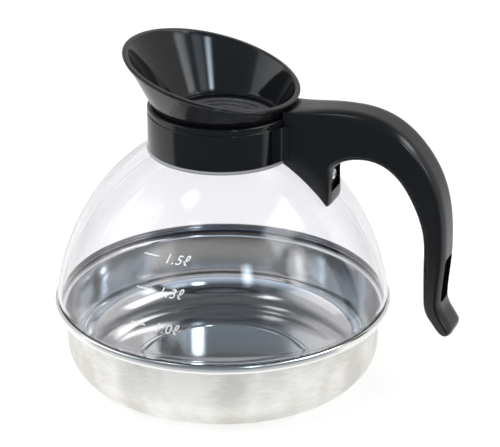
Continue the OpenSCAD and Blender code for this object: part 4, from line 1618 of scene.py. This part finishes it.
class CARAFE_OT_handle(bpy.types.Operator):
    """Build the moulded handle and its screws, and finish the threaded inserts"""

    bl_idname = "carafe.handle"
    bl_label = "Handle and screws"

    def execute(self, context):
        v = measures(context)
        colours = context.scene.carafe_colours
        handle = build_handle(v, handle_black_finish(colours))
        settle(handle, "carafe", "gloss_black", "handle")
        screws = build_screws(v, metal_finish("screw steel", colours.steel, 0.3))
        settle(screws, "carafe", "screw_steel", "handle_screws")
        dress(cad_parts["threaded_inserts"], metal_finish("brass", colours.brass, 0.28))
        return {"FINISHED"}


def studio_finish(name, colour, glow, far_glow):
    """Studio surface that takes shadows and glows to white for camera, mirror and clear-plastic rays.

    Past the object's front it lies in the dusk of the room, and only what mirrors it shows that.
    """
    material, tree, place = start_finish(name)
    path = add_node(tree, "ShaderNodeLightPath").outputs
    mirrored = worked(tree, path["Is Glossy Ray"], path["Is Transmission Ray"], "SUBTRACT")
    seen = worked(tree, path["Is Camera Ray"], path["Is Transmission Ray"], "MAXIMUM")
    far_off = ranged(tree, distance_to(tree, place), 0, 1, *DUSK_START)
    mirror_glow = worked(tree, mirrored, chosen(tree, far_off, glow, far_glow))
    light = worked(tree, worked(tree, seen, glow), mirror_glow, "MAXIMUM")
    matt_shade = blend_shades(tree, noise(tree, place, scale=2.0), colour, dimmed(colour, 0.99))
    matt = output(tree, "ShaderNodeBsdfDiffuse", {"Color": matt_shade})
    lamp = output(tree, "ShaderNodeEmission", {"Strength": light})
    both = output(tree, "ShaderNodeAddShader", {0: matt, 1: lamp})
    dusk_feeds = {"Color": (*DUSK_SHADE, 1), "Strength": DUSK_FLOOR}
    dusk = output(tree, "ShaderNodeEmission", dusk_feeds)
    in_front = ranged(tree, along(tree, heading_to(tree, place), ROOM_FRONT), 0, 1, *DUSK_SIDES)
    hidden = worked(tree, worked(tree, far_off, in_front), mirrored)
    whole = output(tree, "ShaderNodeMixShader", {0: hidden, 1: both, 2: dusk})
    add_node(tree, "ShaderNodeOutputMaterial", {"Surface": whole})
    return material


def round_place(azimuth, elevation, distance, aim):
    """A place seen from the aim at an azimuth and elevation in degrees. Azimuth 0 is on -Y."""
    turn = azimuth * DEGREE
    lift = elevation * DEGREE
    back = Vector((math.sin(turn) * math.cos(lift), -math.cos(turn) * math.cos(lift), math.sin(lift)))
    return Vector(aim) + back * distance


def right_of(azimuth):
    """Unit vector to the right of one who looks at the object from an azimuth in degrees."""
    return Vector((math.cos(azimuth * DEGREE), math.sin(azimuth * DEGREE), 0))


def window(tree, direction, azimuth, elevation, half_width, half_height):
    """1 inside a soft-edged window on the room's wall and 0 outside, its place and size in degrees."""
    centre = round_place(azimuth, elevation, 1, (0, 0, 0))
    across = right_of(azimuth)
    inside = worked(tree, along(tree, direction, centre), 0, "GREATER_THAN")
    for axis, half in ((across, half_width), (centre.cross(across), half_height)):
        offset = worked(tree, along(tree, direction, axis), 0, "ABSOLUTE")
        edges = [math.sin((half + turn) * DEGREE) for turn in (-WINDOW_BLUR, WINDOW_BLUR)]
        inside = worked(tree, inside, ranged(tree, offset, 1, 0, *edges))
    return inside


def room_strength(tree, direction, through_ray):
    """How bright the room is in a direction, for rays that mirror it or see it through plastic."""
    height = along(tree, direction, (0, 0, 1))
    aside = worked(tree, along(tree, direction, ROOM_SIDE), 2, "POWER")
    overhead = ranged(tree, height, 1.0, ROOM_DARK, *OVERHEAD_RANGE)
    beside = ranged(tree, aside, 0, SIDE_LIGHT, *SIDE_RANGE)
    through = worked(tree, overhead, beside, "MAXIMUM")
    wall = ranged(tree, along(tree, direction, ROOM_FRONT), ROOM_BACK, DUSK_WALL, *FRONT_RANGE)
    room = worked(tree, wall, ranged(tree, height, 1.0, CEILING, *CEILING_RANGE))
    strength = chosen(tree, through_ray, room, through)
    pane_share = chosen(tree, through_ray, 1, PANE_THROUGH)
    for *place_and_size, power in WINDOWS:
        pane = worked(tree, window(tree, direction, *place_and_size), power)
        strength = worked(tree, strength, worked(tree, pane, pane_share), "ADD")
    return strength


def studio_world():
    """White surroundings for what is seen, and a room with soft windows for what mirrors it."""
    world = bpy.data.worlds.new("studio")
    world.use_nodes = True
    tree = world.node_tree
    tree.nodes.clear()
    path = add_node(tree, "ShaderNodeLightPath").outputs
    direction = output(tree, "ShaderNodeTexCoord", socket="Generated")
    room = room_strength(tree, direction, path["Is Transmission Ray"])
    mirrored = worked(tree, path["Is Glossy Ray"], path["Is Transmission Ray"], "MAXIMUM")
    lit = chosen(tree, mirrored, ROOM_LIGHT, room)
    strength = chosen(tree, path["Is Camera Ray"], lit, 1.0)
    in_front = ranged(tree, along(tree, direction, ROOM_FRONT), 0, 1, *FRONT_RANGE)
    colour = blend_shades(tree, worked(tree, in_front, mirrored), (1, 1, 1), DUSK_SHADE)
    light = output(tree, "ShaderNodeBackground", {"Color": colour, "Strength": strength})
    add_node(tree, "ShaderNodeOutputWorld", {"Surface": light})
    bpy.context.scene.world = world


def point_at(holder, place, aim):
    """Puts a lamp or a camera at a place and turns it to an aim, both in metres."""
    holder.location = place
    holder.rotation_mode = "QUATERNION"
    holder.rotation_quaternion = (Vector(aim) - Vector(place)).to_track_quat("-Z", "Y")


def softbox(name, azimuth, elevation, distance, width, height, power):
    """A rectangular lamp that lights matt surfaces and isn't seen itself."""
    lamp = bpy.data.lights.new(name, "AREA")
    lamp.shape = "RECTANGLE"
    lamp.size = width
    lamp.size_y = height
    lamp.energy = power
    holder = link_object(name, lamp)
    holder.visible_camera = False
    holder.visible_glossy = False
    holder.visible_transmission = False
    point_at(holder, round_place(azimuth, elevation, distance, LAMP_AIM), LAMP_AIM)


def studio_camera():
    """The camera, at the place from which the object is shown."""
    camera_data = bpy.data.cameras.new("studio_camera")
    camera_data.lens = CAMERA_LENS
    camera = link_object("studio_camera", camera_data)
    aim = right_of(CAMERA_AZIMUTH) * AIM_RIGHT * MM + Vector((0, 0, AIM_HEIGHT * MM))
    place = round_place(CAMERA_AZIMUTH, CAMERA_ELEVATION, CAMERA_DISTANCE, aim)
    point_at(camera, place, aim)
    bpy.context.scene.camera = camera


class CARAFE_OT_stage(bpy.types.Operator):
    """Set up the pale floor, the soft lights and the camera"""

    bl_idname = "carafe.stage"
    bl_label = "Stage, lights and camera"

    def execute(self, context):
        scene = context.scene
        scene.view_settings.view_transform = "Standard"
        below = Matrix.Translation((0, 0, -FLOOR_DEPTH - FLOOR_GAP))
        disc = extruded("studio_floor", circle(FLOOR_RADIUS, 64), FLOOR_DEPTH, below)
        floor = link_object("studio_floor", disc)
        colour = scene.carafe_colours.floor
        dress(floor, studio_finish("studio floor", colour, FLOOR_GLOW, FLOOR_FAR_GLOW))
        studio_world()
        for lamp in LAMPS:
            softbox(*lamp)
        studio_camera()
        return {"FINISHED"}


class CARAFE_PT_pieces(bpy.types.Panel):
    """Sidebar panel with the sizes and one button for each piece or group of pieces"""

    bl_label = "Coffee server carafe"
    bl_idname = "CARAFE_PT_pieces"
    bl_space_type = "VIEW_3D"
    bl_region_type = "UI"
    bl_category = "Carafe"

    def draw(self, context):
        layout = self.layout
        for group_name in PROPERTY_GROUPS:
            group = getattr(context.scene, group_name)
            box = layout.box()
            for key, entry in group.bl_rna.properties.items():
                if entry.type in {"FLOAT", "INT"}:
                    box.prop(group, key)
        for operator in BUILD_ORDER:
            layout.operator(operator.bl_idname)


PROPERTY_GROUPS = {
    "carafe_bowl": CarafeBowlSizes,
    "carafe_top": CarafeTopSizes,
    "carafe_handle": CarafeHandleSizes,
    "carafe_colours": CarafeColours,
}

BUILD_ORDER = (
    CARAFE_OT_bowl,
    CARAFE_OT_base,
    CARAFE_OT_collar,
    CARAFE_OT_funnel,
    CARAFE_OT_handle,
    CARAFE_OT_stage,
)


def register():
    """Registers the property groups, the operators and the panel."""
    for name, group in PROPERTY_GROUPS.items():
        bpy.utils.register_class(group)
        setattr(bpy.types.Scene, name, PointerProperty(type=group))
    for part in BUILD_ORDER:
        bpy.utils.register_class(part)
    bpy.utils.register_class(CARAFE_PT_pieces)


def unregister():
    """Takes the panel, the operators and the property groups back."""
    bpy.utils.unregister_class(CARAFE_PT_pieces)
    for part in reversed(BUILD_ORDER):
        bpy.utils.unregister_class(part)
    for name, group in PROPERTY_GROUPS.items():
        delattr(bpy.types.Scene, name)
        bpy.utils.unregister_class(group)


def main():
    register()
    bpy.ops.carafe.bowl()
    bpy.ops.carafe.base()
    bpy.ops.carafe.collar()
    bpy.ops.carafe.funnel()
    bpy.ops.carafe.handle()
    bpy.ops.carafe.stage()


if __name__ == "__main__":
    main()
